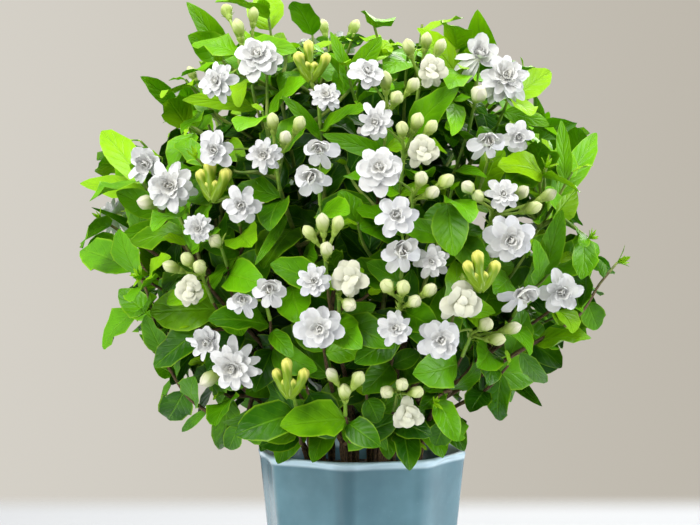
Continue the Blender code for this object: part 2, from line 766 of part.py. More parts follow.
def layPlant():
    draw = random.Random(seed)
    room = Room()
    pot = turnedShape(np.zeros(3), upward, [(footRadius, 0), (rimRadius, potHeight + gap)], 16)
    room.add("pot", [pot])
    sprays = []
    ends = {}
    plans = [(plan["stem"], plan) for plan in sprayPlan]
    plans += [(stem, (turn, height)) for stem, turn, height in backPlan]
    for stem, plan in plans:
        for forward in sprayDepths:
            state = draw.getstate()
            if isinstance(plan, dict):
                spray = frontSpray(plan, forward * mm, draw)
            else:
                spray = backSpray(plan[0], plan[1], forward * mm, draw)
            shapes = sprayShapes(spray)
            if room.clear(shapes):
                break
            draw.setstate(state)
        else:
            print("spray crowded", stem, plan)
        room.add("spray", shapes)
        spray["name"] = f"spray_{len(sprays) + 1:02d}"
        sprays.append(spray)
        end = dict(root=spray["root"], heading=spray["heading"], via=None)
        ends.setdefault(stem, []).append(end)
    for stem, points in shootPlan:
        via = [onCrown(x, z, -shootInset) for x, z in points]
        tip = via.pop()
        before = via[-1] if via else tip - unit(0.5 * crownNormal(tip) + upward)
        heading = unit(tip - before)
        ends.setdefault(stem, []).append(dict(root=tip, heading=heading, via=via))
    for stem, turn, height in sideShootPlan:
        tip = onDome(turn, height, sideShootReach)
        heading = unit(0.5 * crownNormal(tip) + upward)
        ends.setdefault(stem, []).append(dict(root=tip, heading=heading, via=[]))
    stems = layStems(ends, room, draw)
    print("planned leaves placed:", placePlanned(stems, room, draw), "of", len(leafPlan))
    print("leaves in all:", placePairs(stems, room, leafLimit, draw))
    return sprays, stems


# Materials


def material(name, colour, roughness):
    made = bpy.data.materials.new(name)
    made.use_nodes = True
    shader = made.node_tree.nodes["Principled BSDF"]
    shader.inputs["Base Color"].default_value = (*colour, 1)
    shader.inputs["Roughness"].default_value = roughness
    return made


# Pot and soil


def facetShare(turn):
    """Distance of a rounded octagon's edge as a share of its corner's, by direction."""
    step = 2 * math.pi / facets
    away = (turn - facetTurn) % step - step / 2
    flat = np.cos(step / 2) / np.cos(away)
    blend = np.exp(-cornerSharpness * flat) + np.exp(-cornerSharpness * cornerLimit)
    rounded = -np.log(blend) / cornerSharpness
    return rounded, np.cos(away * facets / 2) ** 2


def turnedObject(name, profile, finish):
    """Turns a profile of (radius, height) round Z, then draws the sides in to eight facets."""
    mesh = bpy.data.meshes.new(name)
    points = [(radius, 0, height) for radius, height in profile]
    mesh.from_pydata(points, [(i, i + 1) for i in range(len(points) - 1)], [])
    obj = bpy.data.objects.new(name, mesh)
    parts.objects.link(obj)
    screw = obj.modifiers.new("turn", "SCREW")
    screw.steps = turnSteps
    screw.render_steps = turnSteps
    screw.use_merge_vertices = True
    screw.merge_threshold = 0.1 * mm
    solid = applied(obj)
    for vertex in solid.data.vertices:
        x, y, z = vertex.co
        radius = math.hypot(x, y)
        if radius < 1 * mm:  # the two poles stay on the axis
            continue
        share, hollow = facetShare(np.array(math.atan2(y, x)))
        lip = min(max((z - (potHeight - lipDrop)) / lipDrop, 0), 1)
        strength = 1 - (1 - lipFlatness) * lip
        factor = 1 - (1 - float(share)) * strength - facetHollow * (1 - lip) * float(hollow) / radius
        vertex.co.x = x * factor
        vertex.co.y = y * factor
    solid.data.materials.append(finish)
    solid.data.set_sharp_from_angle(angle=math.radians(40))
    return solid


def applied(obj):
    """The object with its modifiers applied, under the same name."""
    bpy.context.view_layer.update()
    graph = bpy.context.evaluated_depsgraph_get()
    mesh = bpy.data.meshes.new_from_object(obj.evaluated_get(graph))
    name = obj.name
    old = obj.data
    bpy.data.objects.remove(obj)
    if old.users == 0 and isinstance(old, bpy.types.Mesh):
        bpy.data.meshes.remove(old)
    mesh.name = name
    made = bpy.data.objects.new(name, mesh)
    parts.objects.link(made)
    return made


def outerRadius(height):
    return footRadius + (rimRadius - footRadius) * height / potHeight


def buildPot(glaze):
    inner = outerRadius(floorThickness + insideRound) - wall
    crest = potHeight
    profile = [
        (0, floorThickness),
        (inner - insideRound, floorThickness),
        (inner, floorThickness + insideRound),
        (outerRadius(potHeight - lipDrop) - wall, potHeight - lipDrop),
        (rimRadius - wall + lipRound * 0.6, crest - lipRound * 0.35),
        (rimRadius - wall / 2, crest),
        (rimRadius - lipRound * 0.5, crest - lipRound * 0.45),
        (rimRadius, crest - lipRound * 1.6),
        (outerRadius(potHeight - lipDrop), potHeight - lipDrop),
        (footRadius, footEdge),
        (footRadius - footEdge, 0),
        (0, 0),
    ]
    return turnedObject("pot", profile, glaze)


def buildSoil(earth, stems):
    low = floorThickness + gap
    high = potHeight - soilDrop
    inner = outerRadius(floorThickness + insideRound) - wall
    profile = [
        (0, high),
        (outerRadius(high) - wall - soilGap, high),
        (inner - soilGap, floorThickness + insideRound + gap),
        (inner - insideRound - soilGap, low),
        (0, low),
    ]
    soil = turnedObject("soil", profile, earth)
    holes = bpy.data.collections.new("stem holes")
    bpy.context.scene.collection.children.link(holes)
    radius = (stemRadius + gap) / math.cos(math.pi / 6)
    depth = rootDepth + gap
    for stem in stems:
        drill = bmesh.new()
        sizes = dict(radius1=radius, radius2=radius, depth=2 * depth)
        bmesh.ops.create_cone(drill, cap_ends=True, segments=6, **sizes)
        mesh = bpy.data.meshes.new("drill")
        drill.to_mesh(mesh)
        drill.free()
        cutter = bpy.data.objects.new("drill", mesh)
        cutter.location = stem["ground"]
        holes.objects.link(cutter)
    return joinCollection(soil, holes, "DIFFERENCE")


def keepBody(obj):
    """Keeps the largest closed surface: a hollow that the union sealed is filled, a scrap is dropped."""
    mesh = bmesh.new()
    mesh.from_mesh(obj.data)
    mesh.verts.ensure_lookup_table()
    left = set(mesh.verts)
    bodies = []
    while left:
        group = {left.pop()}
        edge = list(group)
        while edge:
            found = [other for v in edge for e in v.link_edges for other in e.verts if other in left]
            edge = list(set(found))
            left.difference_update(edge)
            group.update(edge)
        faces = {face for vertex in group for face in vertex.link_faces}
        volume = 0.0
        for face in faces:
            a, b, c = face.verts[0].co, face.verts[1].co, face.verts[2].co
            for k in range(1, len(face.verts) - 1):
                b, c = face.verts[k].co, face.verts[k + 1].co
                volume += a.dot(b.cross(c)) / 6
        bodies.append((volume, group))
    bodies.sort(key=lambda body: -body[0])
    for volume, group in bodies[1:]:
        print(obj.name, "drops a surface of", len(group), "points,", round(volume / mm**3, 2), "mm3")
        bmesh.ops.delete(mesh, geom=list(group), context="VERTS")
    mesh.to_mesh(obj.data)
    mesh.free()


def joinCollection(base, collection, operation):
    """Unites a collection's objects with the base, or cuts them from it, and removes them."""
    boolean = base.modifiers.new(operation.lower(), "BOOLEAN")
    boolean.operation = operation
    boolean.operand_type = "COLLECTION"
    boolean.collection = collection
    boolean.solver = "MANIFOLD"  # EXACT takes minutes on so many small closed pieces
    made = applied(base)
    for obj in list(collection.objects):
        bpy.data.objects.remove(obj)
    bpy.data.collections.remove(collection)
    keepBody(made)
    return made


# Stems and sprays


def tubeObject(name, path, radii, collection):
    """A rod along a line, as a curve with a bevel made into a closed mesh."""
    curve = bpy.data.curves.new(name, "CURVE")
    curve.dimensions = "3D"
    curve.bevel_depth = 1.0
    curve.bevel_resolution = (twigSides - 4) // 2
    curve.use_fill_caps = True
    spline = curve.splines.new("POLY")
    spline.points.add(len(path) - 1)
    for point, place, radius in zip(spline.points, path, radii):
        point.co = (*place, 1)
        point.radius = radius
    rod = bpy.data.objects.new(name, curve)
    bpy.context.scene.collection.objects.link(rod)
    bpy.context.view_layer.update()
    graph = bpy.context.evaluated_depsgraph_get()
    mesh = bpy.data.meshes.new_from_object(rod.evaluated_get(graph))
    bpy.data.objects.remove(rod)
    bpy.data.curves.remove(curve)
    welded = bmesh.new()
    welded.from_mesh(mesh)
    bmesh.ops.remove_doubles(welded, verts=welded.verts, dist=0.01 * mm)
    bmesh.ops.recalc_face_normals(welded, faces=welded.faces)
    welded.to_mesh(mesh)
    welded.free()
    made = bpy.data.objects.new(name, mesh)
    collection.objects.link(made)
    return made


def shapedSphere(name, around, rings, centre, axis, place, collection):
    """A sphere of rings and segments whose points a rule then places round an axis."""
    ball = bmesh.new()
    bmesh.ops.create_uvsphere(ball, u_segments=around, v_segments=rings + 1, radius=1)
    across = unit(np.cross(axis, [0.2, 0.5, 0.84]))
    other = np.cross(axis, across)
    for vertex in ball.verts:
        x, y, z = vertex.co
        turn = math.atan2(y, x)
        level = round((math.acos(max(-1, min(1, -z))) / math.pi) * (rings + 1))
        step = round(turn / (2 * math.pi) * around) % around
        radius, height, angle = place(level, step)
        spot = centre + axis * height + radius * (math.cos(angle) * across + math.sin(angle) * other)
        vertex.co = spot
    bmesh.ops.remove_doubles(ball, verts=ball.verts, dist=0.01 * mm)
    mesh = bpy.data.meshes.new(name)
    ball.to_mesh(mesh)
    ball.free()
    made = bpy.data.objects.new(name, mesh)
    collection.objects.link(made)
    return made


def bloomObject(bloom, collection):
    """A double bloom: an outer ring of petals, an inner ring that stands over it, and the heart."""
    r = bloom["radius"]
    wide = bloom["opened"]
    petals = manyPetals if r > wideBloom else fewPetals
    around = petals * 3
    rimHeight, rimReach, innerHeight = bloomForm(wide)
    valley = (0.45 - 0.15 * wide, 0.10 + 0.3 * (1 - wide))

    def place(level, step):
        angle = bloom["turn"] + step * 2 * math.pi / around
        notch = step % 3 == 0
        if level == 0:
            return 0, bloomBack * r, angle
        if level == 1:
            reach = rimReach * (0.6 if notch else 1.0)
            return reach * r, (rimHeight - (0.02 if notch else 0)) * r, angle
        if level == 2:
            petal = round(step / 3) * 2 * math.pi / petals
            return valley[0] * r, valley[1] * r, bloom["turn"] + petal
        if level == 3:
            between = step % 3 == 2
            reach = 0.40 if between else 0.60
            return reach * r, (innerHeight - (0.12 if between else 0)) * r, angle - math.pi / around
        return 0, (innerHeight - 0.16) * r, angle

    return shapedSphere("bloom", around, 3, bloom["centre"], bloom["axis"], place, collection)


def budObject(bud, collection):
    back, profile, front = budProfile(bud)
    start = back - 0.5 * mm

    def place(level, step):
        angle = step * 2 * math.pi / budSides
        if level == 0:
            return 0, start, angle
        if level == 3:
            return 0, front, angle
        radius, height = profile[level - 1]
        return radius, height, angle

    return shapedSphere("bud", budSides, 2, bud["place"], bud["axis"], place, collection)


def leafObject(leaf, collection):
    """A folded, waved blade with a low ridge on top and a keel below."""
    points, faces = leafShape(leaf)
    mesh = bpy.data.meshes.new("leaf")
    mesh.from_pydata(points.tolist(), [], faces)
    blade = bpy.data.objects.new("leaf", mesh)
    collection.objects.link(blade)
    return blade


def buildSpray(spray, finish):
    pieces = bpy.data.collections.new("petals and buds")
    bpy.context.scene.collection.children.link(pieces)
    beyond = spray["joint"] + stalkBeyond * spray["heading"]
    stalk = tubeObject(spray["name"], [spray["root"], beyond], [stalkRadius] * 2, parts)
    for bloom in spray["blooms"]:
        foot = bloomFoot(bloom)
        inside = foot + 0.12 * bloom["radius"] * unit(unit(foot - bloom["root"]) + bloom["axis"])
        tubeObject("pedicel", [bloom["root"], inside], [pedicelRadius] * 2, pieces)
        bloomObject(bloom, pieces)
    for bud in spray["buds"]:
        budObject(bud, pieces)
    made = joinCollection(stalk, pieces, "UNION")
    made.data.materials.clear()
    made.data.materials.append(finish)
    return made


def buildStem(stem, finish):
    pieces = bpy.data.collections.new("twigs and leaves")
    bpy.context.scene.collection.children.link(pieces)
    first = stem["lines"][0]
    main = tubeObject(stem["name"], first["path"], first["radii"], parts)
    for line in stem["lines"][1:]:
        tubeObject("twig", line["path"], line["radii"], pieces)
    for leaf in stem["leaves"]:
        leafObject(leaf, pieces)
    made = joinCollection(main, pieces, "UNION")
    made.data.materials.clear()
    made.data.materials.append(finish)
    return made


def build():
    glaze = material("blue glaze", (0.22, 0.35, 0.40), 0.16)
    earth = material("potting soil", (0.035, 0.022, 0.014), 0.95)
    green = material("leaf green", (0.07, 0.26, 0.012), 0.4)
    white = material("petal white", (0.86, 0.85, 0.86), 0.5)
    sprays, stems = layPlant()
    buildPot(glaze)
    buildSoil(earth, stems)
    for stem in stems:
        buildStem(stem, green)
    for spray in sprays:
        buildSpray(spray, white)


for leftover in list(bpy.data.objects):
    bpy.data.objects.remove(leftover)
parts = bpy.data.collections.new("potted arabian jasmine")
bpy.context.scene.collection.children.link(parts)
build()
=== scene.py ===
# Looks of the potted arabian jasmine: glaze, soil, bark, leaves, petals and buds. The plant is laid out by
# the rules that placed its CAD nodes, so that every finer piece stands where its node does.

import math
import random

import bpy
import numpy as np
from mathutils.bvhtree import BVHTree
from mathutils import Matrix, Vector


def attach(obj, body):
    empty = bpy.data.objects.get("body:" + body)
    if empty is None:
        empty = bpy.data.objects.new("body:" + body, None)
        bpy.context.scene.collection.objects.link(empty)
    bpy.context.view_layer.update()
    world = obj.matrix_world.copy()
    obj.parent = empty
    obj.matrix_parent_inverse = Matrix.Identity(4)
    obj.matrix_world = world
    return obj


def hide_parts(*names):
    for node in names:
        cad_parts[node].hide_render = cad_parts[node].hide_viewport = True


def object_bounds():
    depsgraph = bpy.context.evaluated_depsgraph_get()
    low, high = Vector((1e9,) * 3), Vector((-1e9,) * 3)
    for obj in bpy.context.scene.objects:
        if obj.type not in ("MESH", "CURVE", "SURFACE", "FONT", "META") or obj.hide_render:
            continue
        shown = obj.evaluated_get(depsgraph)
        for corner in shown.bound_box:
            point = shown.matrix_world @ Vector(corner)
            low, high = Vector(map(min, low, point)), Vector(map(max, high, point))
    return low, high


mm = 0.001
upward = np.array([0.0, 0.0, 1.0])

# The pot's rim and foot are measured across its rounded corners
pot = dict(
    height=150 * mm,
    rimRadius=82.4 * mm,
    footRadius=66.8 * mm,
    footEdge=3 * mm,
    wall=6.5 * mm,
    floor=8 * mm,
    insideRound=3 * mm,
    lipAtRidge=9 * mm,
    lipAtFacet=4 * mm,
    lipRound=2.6 * mm,
    # paleBand and bandFade: the pale band over the lip, partly thin glaze and partly a painted highlight
    paleBand=7 * mm,
    facets=8,
    facetTurn=math.radians(-99),
    cornerLimit=0.985,
    cornerSharpness=120,
    hollow=0.9 * mm,
    lipFlatness=0.6,
    bandFade=4.5 * mm,
    # Painted shade on the front-right facet: where it is centred, how wide and how dark
    besideTurn=math.radians(275),
    besideWidth=0.26,
    beside=0.42,
    around=320,
)

# Soil, and where the stems stand in it
soil = dict(
    drop=18 * mm,
    gap=0.35 * mm,
    rootDepth=24 * mm,
    rimInside=64 * mm,
    holeReach=54 * mm,
    holeSpacing=11.5 * mm,
    holeNear=17 * mm,
    holeFar=50 * mm,
    fullLean=1.3,
    aside=0.455 * mm,
    around=160,
    seed=5,
    crumbs=520,
    crumbSize=(0.9, 2.6),
    crumbReach=0.9114,
    rough=1.5 * mm,
)

# Stems and twigs. Each has so many tries to find a clear way, with a wider sway each time, in mm
wood = dict(
    stem=2.9 * mm,
    fork=1.8 * mm,
    twig=1.5 * mm,
    clearance=0.45 * mm,
    mainPoints=6,
    sidePoints=4,
    tries=150,
    mainSway=90,
    sideSway=60,
    shootInset=16 * mm,
    sideShootReach=0.88,
    sides=9,
    step=5 * mm,
    tipShare=0.6,
)

# Stalks that carry the flowers. A spray that crosses another is tried at each of the depths, in mm
stalk = dict(
    radius=1.5 * mm,
    pedicel=0.9 * mm,
    step=2.4 * mm,
    root=12 * mm,
    beyond=1.6 * mm,
    underBlooms=(19 * mm, 8 * mm),
    underBuds=(8 * mm, 15 * mm),
    clearance=0.3 * mm,
    depths=(0, 7, -7, 13, -13, 19, -19),
)

# Blooms and buds. Those of the far side have sizes by chance, in mm, and some have a second bloom
flower = dict(
    footAside=0.26,
    frontTo=20 * mm,
    back=-0.42,
    backWidth=(29, 38),
    backDrop=8 * mm,
    secondShare=0.5,
    secondWidth=27 * mm,
    secondAside=24,
    secondDrop=12 * mm,
    backBudsUp=15 * mm,
    backBudsAside=13 * mm,
    roundBud=(4.3 * mm, 10.6 * mm),
    goldBud=(3.0 * mm, 15.5 * mm),
)

# Leaves: the first ones stand for the nodes, and the rest fill the crown. Lengths and spacings of pairs are
# in mm, openings are angles in radians, and widths are shares of the length
leafRule = dict(
    rise=0.6 * mm,
    keel=0.8 * mm,
    root=0.3 * mm,
    petiole=1.0 * mm,
    stations=[0.0, 0.04, 0.33, 0.70, 1.0],
    limit=91,
    floor=pot["height"] + 18 * mm,
    plannedLength=(14 * mm, 84 * mm),
    plannedBend=0.45,
    plannedDepths=(-4, 4, -12, 10, -20, 16, -28),
    pairSpacing=(25, 31),
    pairLength=(36, 52),
    pairWidth=(0.54, 0.64),
    pairOpening=(0.85, 1.25),
    pairTries=14,
    pairSwing=0.35,
    pairShrink=0.03,
    firstPair=(6, 10),
    aboveRim=3 * mm,
    leafyShare=0.72,
    seed=27,
)

# The crown is a dome that the blooms sit on, seen from the front at the eye's distance
crown = dict(
    centre=np.array([-8, 0, 322]) * mm,
    half=np.array([203, 165, 190]) * mm,
    eye=np.array([-8.6, -1100, 295]) * mm,
)

# Flower sprays by leafy stem: across and height in mm, seen square on in the plane of the pot's
# axis, with each bloom's width and kind. "half" blooms are still cupped, "gold" are long unopened buds.
# A bud's third number makes it larger.
sprayPlan = [
    dict(stem=1, open=[(-81, 455, 39, "broad"), (-112, 436, 31, "star")],
         buds=[(-105, 492), (-84, 489), (-96, 479)]),
    dict(stem=1, open=[(-27, 425, 25, "peony")], gold=[(-49, 454), (-41, 463), (-27, 453)]),
    dict(stem=2, open=[(5, 443, 28, "loose")], buds=[(19, 438), (28, 424), (41, 434)]),
    dict(stem=2, half=[(55, 446, 23)], buds=[(37, 464), (51, 469), (62, 464)]),
    dict(stem=3, open=[(93, 456, 27, "globe"), (112, 439, 41, "peony")], buds=[(92, 427, 1.2)]),
    dict(stem=4, open=[(11, 405, 30, "star")], half=[(48, 383, 23)], buds=[(32, 400), (44, 406), (55, 401)]),
    dict(stem=5, open=[(-114, 383, 30, "loose"), (-76, 379, 27, "peony")],
         buds=[(-69, 406), (-59, 393), (-48, 404)]),
    dict(stem=5, open=[(-32, 383, 30, "hang"), (-39, 361, 31, "hang")]),
    dict(stem=4, open=[(14, 368, 41, "broad")], buds=[(47, 361), (56, 350), (67, 359)]),
    dict(stem=3, open=[(98, 389, 31, "hang"), (122, 393, 25, "loose")]),
    dict(stem=6, open=[(-167, 372, 25, "globe"), (-149, 354, 41, "peony")], buds=[(-168, 342, 1.25)]),
    dict(stem=6, open=[(-94, 340, 30, "loose")], gold=[(-125, 362), (-118, 369), (-105, 363)]),
    dict(stem=6, open=[(-127, 322, 23, "peony")], buds=[(-114, 312)]),
    dict(stem=7, open=[(111, 348, 28, "star")],
         buds=[(83, 354), (91, 347), (126, 350), (135, 338), (147, 348)]),
    dict(stem=8, open=[(28, 331, 34, "loose"), (31, 303, 33, "hang"), (55, 296, 28, "star")]),
    dict(stem=7, open=[(116, 313, 39, "broad")]),
    dict(stem=9, buds=[(-41, 319), (-30, 327), (-18, 326), (-27, 306)]),
    dict(stem=10, half=[(-133, 274, 23)], buds=[(-149, 292), (-136, 298), (-126, 292)]),
    dict(stem=10, open=[(-71, 273, 28, "hang"), (-92, 265, 25, "hang")]),
    dict(stem=9, open=[(-37, 281, 28, "star"), (-10, 283, 28, "bowl")], buds=[(-9, 262)]),
    dict(stem=13, open=[(-33, 244, 39, "broad")]),
    dict(stem=14, open=[(26, 244, 30, "star")], buds=[(20, 277), (33, 276), (42, 265), (54, 274)]),
    dict(stem=11, open=[(62, 235, 36, "broad")], buds=[(98, 247), (107, 235), (119, 244)]),
    dict(stem=8, half=[(78, 266, 30)], gold=[(83, 291), (91, 299), (105, 291)]),
    dict(stem=11, open=[(125, 270, 34, "hang"), (156, 272, 34, "loose")]),
    dict(stem=12, open=[(-119, 233, 23, "globe"), (-99, 214, 41, "peony")], buds=[(-119, 204, 1.2)]),
    dict(stem=12, gold=[(-66, 207), (-58, 215), (-44, 207)]),
    dict(stem=13, buds=[(-23, 208), (-13, 195), (-2, 205)]),
    dict(stem=14, half=[(36, 177, 23)], buds=[(20, 194), (32, 200), (44, 194)]),
]

# Leafy shoots that carry no flower: the stem they grow from and the points that they pass
shootPlan = [
    (1, [(-93, 464)]), (1, [(-73, 492)]), (2, [(-12, 449)]), (2, [(80, 447)]),
    (3, [(118, 430)]), (6, [(-175, 366)]), (7, [(165, 366)]), (7, [(155, 296)]),
    (12, [(-107, 193)]), (11, [(115, 215)]), (13, [(-43, 198)]), (14, [(4, 193)]),
    (14, [(37, 156)]), (14, [(69, 173)]), (10, [(-137, 309)]), (8, [(71, 352)]), (5, [(-77, 414)]),
    (12, [(-94, 169), (-128, 184), (-147, 208), (-157, 231), (-167, 272), (-179, 293)]),
    (11, [(124, 226), (167, 251), (186, 278), (200, 295)]),
]

# The leaves that make the outline and the front: root, tip and width, in mm as above, and the shade of
# those that are not plain green
leafPlan = [
    ((-101, 473), (-136, 498), 20), ((-98, 453), (-135, 472), 27), ((-87, 471), (-77, 505), 30, "fresh"),
    ((-74, 494), (-50, 460), 23), ((-22, 444), (16, 471), 17), ((-7, 460), (-24, 475), 12),
    ((-36, 439), (-69, 444), 12), ((-38, 418), (-62, 425), 12), ((9, 389), (-30, 395), 16),
    ((-132, 420), (-172, 440), 17), ((-100, 413), (-139, 422), 17, "fresh"),
    ((81, 447), (91, 492), 28, "fresh"), ((79, 447), (44, 478), 25, "fresh"),
    ((115, 441), (148, 444), 22, "fresh"), ((112, 416), (147, 402), 16),
    ((38, 413), (76, 432), 27), ((62, 422), (71, 394), 20), ((164, 368), (156, 406), 14),
    ((165, 368), (184, 396), 20), ((-176, 369), (-202, 398), 25, "fresh"),
    ((-187, 355), (-219, 357), 21, "fresh"), ((-157, 333), (-191, 350), 23),
    ((-147, 318), (-187, 316), 17), ((-179, 294), (-218, 305), 30),
    ((-81, 305), (-123, 308), 19), ((-69, 327), (-83, 293), 9), ((71, 352), (73, 300), 31, "dark"),
    ((165, 364), (144, 335), 23), ((154, 296), (185, 309), 28), ((155, 296), (157, 336), 20),
    ((152, 294), (135, 313), 19), ((169, 272), (185, 243), 20), ((50, 372), (98, 361), 12),
    ((-147, 252), (-189, 274), 22), ((-151, 223), (-168, 254), 20), ((-151, 222), (-173, 239), 9),
    ((-144, 210), (-162, 216), 16), ((-133, 198), (-151, 173), 27, "dark"), ((-121, 213), (-141, 219), 8),
    ((-143, 240), (-131, 223), 13), ((-121, 178), (-140, 163), 8), ((-108, 194), (-108, 150), 24, "fresh"),
    ((-90, 169), (-103, 149), 17), ((-61, 227), (-83, 194), 27, "dark"), ((-57, 243), (-53, 221), 16),
    ((-46, 198), (-73, 155), 14), ((-38, 198), (-20, 158), 33, "dark"), ((1, 193), (14, 170), 20),
    ((19, 171), (22, 141), 17), ((8, 177), (20, 148), 11), ((37, 156), (33, 134), 19),
    ((71, 173), (58, 152), 21), ((67, 190), (46, 180), 17), ((93, 200), (85, 178), 23, "dark"),
    ((116, 216), (107, 172), 23), ((101, 208), (141, 183), 14), ((124, 222), (144, 201), 17),
    ((140, 250), (160, 244), 11), ((190, 286), (181, 299), 10), ((-179, 296), (-210, 338), 7),
]

# How light and how yellow a planned leaf is. The others take their shade by chance
leafMoods = dict(
    dark=dict(chance=0.15, luck=0.0),
    plain=dict(chance=0.5, luck=0.0),
    fresh=dict(chance=0.8, luck=0.85),
)

# Sprays on the far side: the stem, the turn about the crown's axis from straight back, and the height on the
# crown as a share of its half height
backPlan = [
    (15, -1.25, 0.1), (15, -0.95, 0.62), (15, -0.75, -0.35), (16, -0.35, 0.3), (16, -0.1, 0.85),
    (16, -0.2, -0.3), (17, 0.35, 0.55), (17, 0.45, -0.1), (18, 0.95, 0.3), (18, 1.2, -0.25),
]

# Leafy shoots at the top and the sides, placed as the sprays on the far side are
sideShootPlan = [
    (3, 1.35, 0.78), (17, 0.9, 0.8), (2, 1.6, 0.95), (16, 0.3, 0.93), (16, -0.8, 0.97),
    (1, -1.5, 0.6), (15, -1.4, -0.62), (6, -1.7, -0.35), (18, 1.45, 0.5), (1, -1.5, 0.83),
    (2, 2.9, 0.93), (15, -0.9, 0.15), (16, -0.1, 0.5), (17, 0.08, 0.05), (18, 0.85, -0.72),
]


def unit(vector):
    return vector / np.linalg.norm(vector)


# Crown geometry


def crownNormal(point):
    return unit((point - crown["centre"]) / crown["half"]**2)


def onCrown(across, height, proud=0.0):
    # The point of the crown's front that appears at a place seen square on
    ray = np.array([across, 0, height]) * mm - crown["eye"]
    depth = -crown["half"][1]
    for _ in range(14):
        point = crown["eye"] + ray * (depth - crown["eye"][1]) / -crown["eye"][1]
        away = (point - crown["centre"]) / crown["half"]
        depth = -crown["half"][1] * math.sqrt(max(1 - away[0] ** 2 - away[2] ** 2, 0.05))
        depth -= proud
    return crown["eye"] + ray * (depth - crown["eye"][1]) / -crown["eye"][1]


def onDome(turn, height, share):
    # The point at a turn from straight back and at a height, each as a share of the crown's size
    level = math.sqrt(1 - height**2)
    outer = np.array([level * math.sin(turn), level * math.cos(turn), height])
    return crown["centre"] + crown["half"] * outer * share


def nearness(point):
    # How much smaller a thing is than it looks in the plane of the pot's axis
    return (point[1] - crown["eye"][1]) / -crown["eye"][1]


def seenAt(points):
    # Across and height of points as they appear in the plane of the pot's axis
    eye = crown["eye"]
    shrink = -eye[1] / (points[:, 1] - eye[1])
    return eye[0] + (points[:, 0] - eye[0]) * shrink, eye[2] + (points[:, 2] - eye[2]) * shrink


# Simple closed shapes that stand for each piece while the plant is laid out, a little oversize


def ringFaces(rings, around, first, last):
    # Quads between neighbouring rings of points, and a fan from the points first and last to the end rings
    row = np.arange(rings - 1)[:, None] * around
    side = np.arange(around)[None]
    after = (side + 1) % around
    quads = np.stack([row + side, row + after, row + after + around, row + side + around], axis=-1)
    end = (rings - 1) * around
    low = np.stack([np.full(around, first), after[0], side[0]], axis=-1)
    high = np.stack([np.full(around, last), end + side[0], end + after[0]], axis=-1)
    return [quads.reshape(-1, 4), np.vstack([low, high])]


def ringPoints(path, radii, across, other, turn):
    # centre + radius (cos a across + sin a other) round each point of the path, and then its two ends
    turn = turn[:, None]
    spoke = np.cos(turn) * across[:, None] + np.sin(turn) * other[:, None]
    ring = path[:, None] + np.reshape(radii, (len(path), -1, 1)) * spoke
    return np.vstack([ring.reshape(-1, 3), path[[0, -1]]])


def ringShape(path, radii, across, other, sides):
    # Rings round a path, joined in triangles, with a fan at each end
    points = ringPoints(path, radii, across, other, np.arange(sides) * math.tau / sides)
    quads, fans = ringFaces(len(path), sides, len(points) - 2, len(points) - 1)
    return points, np.vstack([quads[:, [0, 1, 2]], quads[:, [0, 2, 3]], fans]).tolist()


def tubeShape(path, radii, sides=5):
    path = np.asarray(path)
    tangent = np.gradient(path, axis=0)
    tangent /= np.linalg.norm(tangent, axis=1)[:, None]
    across = np.cross(tangent, [0.31, 0.87, 0.38])
    across /= np.linalg.norm(across, axis=1)[:, None]
    return ringShape(path, radii, across, np.cross(tangent, across), sides)


def turnedShape(centre, axis, profile, sides=7):
    # A profile of (radius, height) pairs turned round an axis
    radii, heights = np.array(profile).T
    across = unit(np.cross(axis, [0.2, 0.5, 0.84]))
    other = np.cross(axis, across)
    return ringShape(centre + heights[:, None] * axis, radii, across[None], other[None], sides)


def leafOutline(along):
    # Half-width of an ovate leaf as a share of its widest, narrow at the root and acute at the tip
    blade = np.clip((along - 0.04) / 0.96, 0, 1)
    return 2.424 * blade**0.55 * (1 - blade) ** 0.75


def leafSurface(leaf, along, across, lift, grow=0.0):
    # Points of a leaf: a spine that bends down from its root, folded and waved to each side
    bend = leaf["bend"]
    up = leaf["up"]
    ahead = leaf["ahead"]
    side = np.cross(ahead, up)
    turn = bend * along
    reach = (leaf["length"] + grow) * np.sin(turn) / bend
    droop = leaf["length"] * (1 - np.cos(turn)) / bend
    normal = np.cos(turn)[:, None] * up + np.sin(turn)[:, None] * ahead
    petiole = leafRule["petiole"] * (along > 0) * (along < 1)
    half = np.maximum(leaf["width"] / 2 * leafOutline(along), petiole) + grow
    wave = leaf["wave"] * np.sin(9 * along + leaf["phase"] + across) * half
    rise = abs(across) * half * math.sin(leaf["fold"]) + across**2 * wave + lift
    spread = across * half * math.cos(leaf["fold"])
    spine = leaf["root"] + reach[:, None] * ahead - droop[:, None] * up
    return spine + spread[:, None] * side + rise[:, None] * normal


def leafShape(leaf, grow=0.0):
    # Closed faces of a leaf: three points across each inner station, top and keel, one at each end
    along = []
    across = []
    lift = []
    for station in leafRule["stations"][1:-1]:
        along += [station] * 4
        across += [1, 0, -1, 0]
        lift += [0, leafRule["rise"] + grow, 0, -leafRule["keel"] - grow]
    along = np.array([0.0] + along + [1.0])
    across = np.array([0.0] + across + [0.0])
    lift = np.array([0.0] + lift + [0.0])
    points = leafSurface(leaf, along, across, lift, grow)
    faces = []
    for side in range(4):
        after = (side + 1) % 4
        faces.append((0, 1 + side, 1 + after))
        for row in (0, 1):
            a = 1 + row * 4 + side
            b = 1 + row * 4 + after
            if side in (0, 2):
                faces += [(a, a + 4, b + 4), (a, b + 4, b)]
            else:
                faces += [(a, a + 4, b), (b, a + 4, b + 4)]
        faces.append((9 + side, 13, 9 + after))
    return points, faces


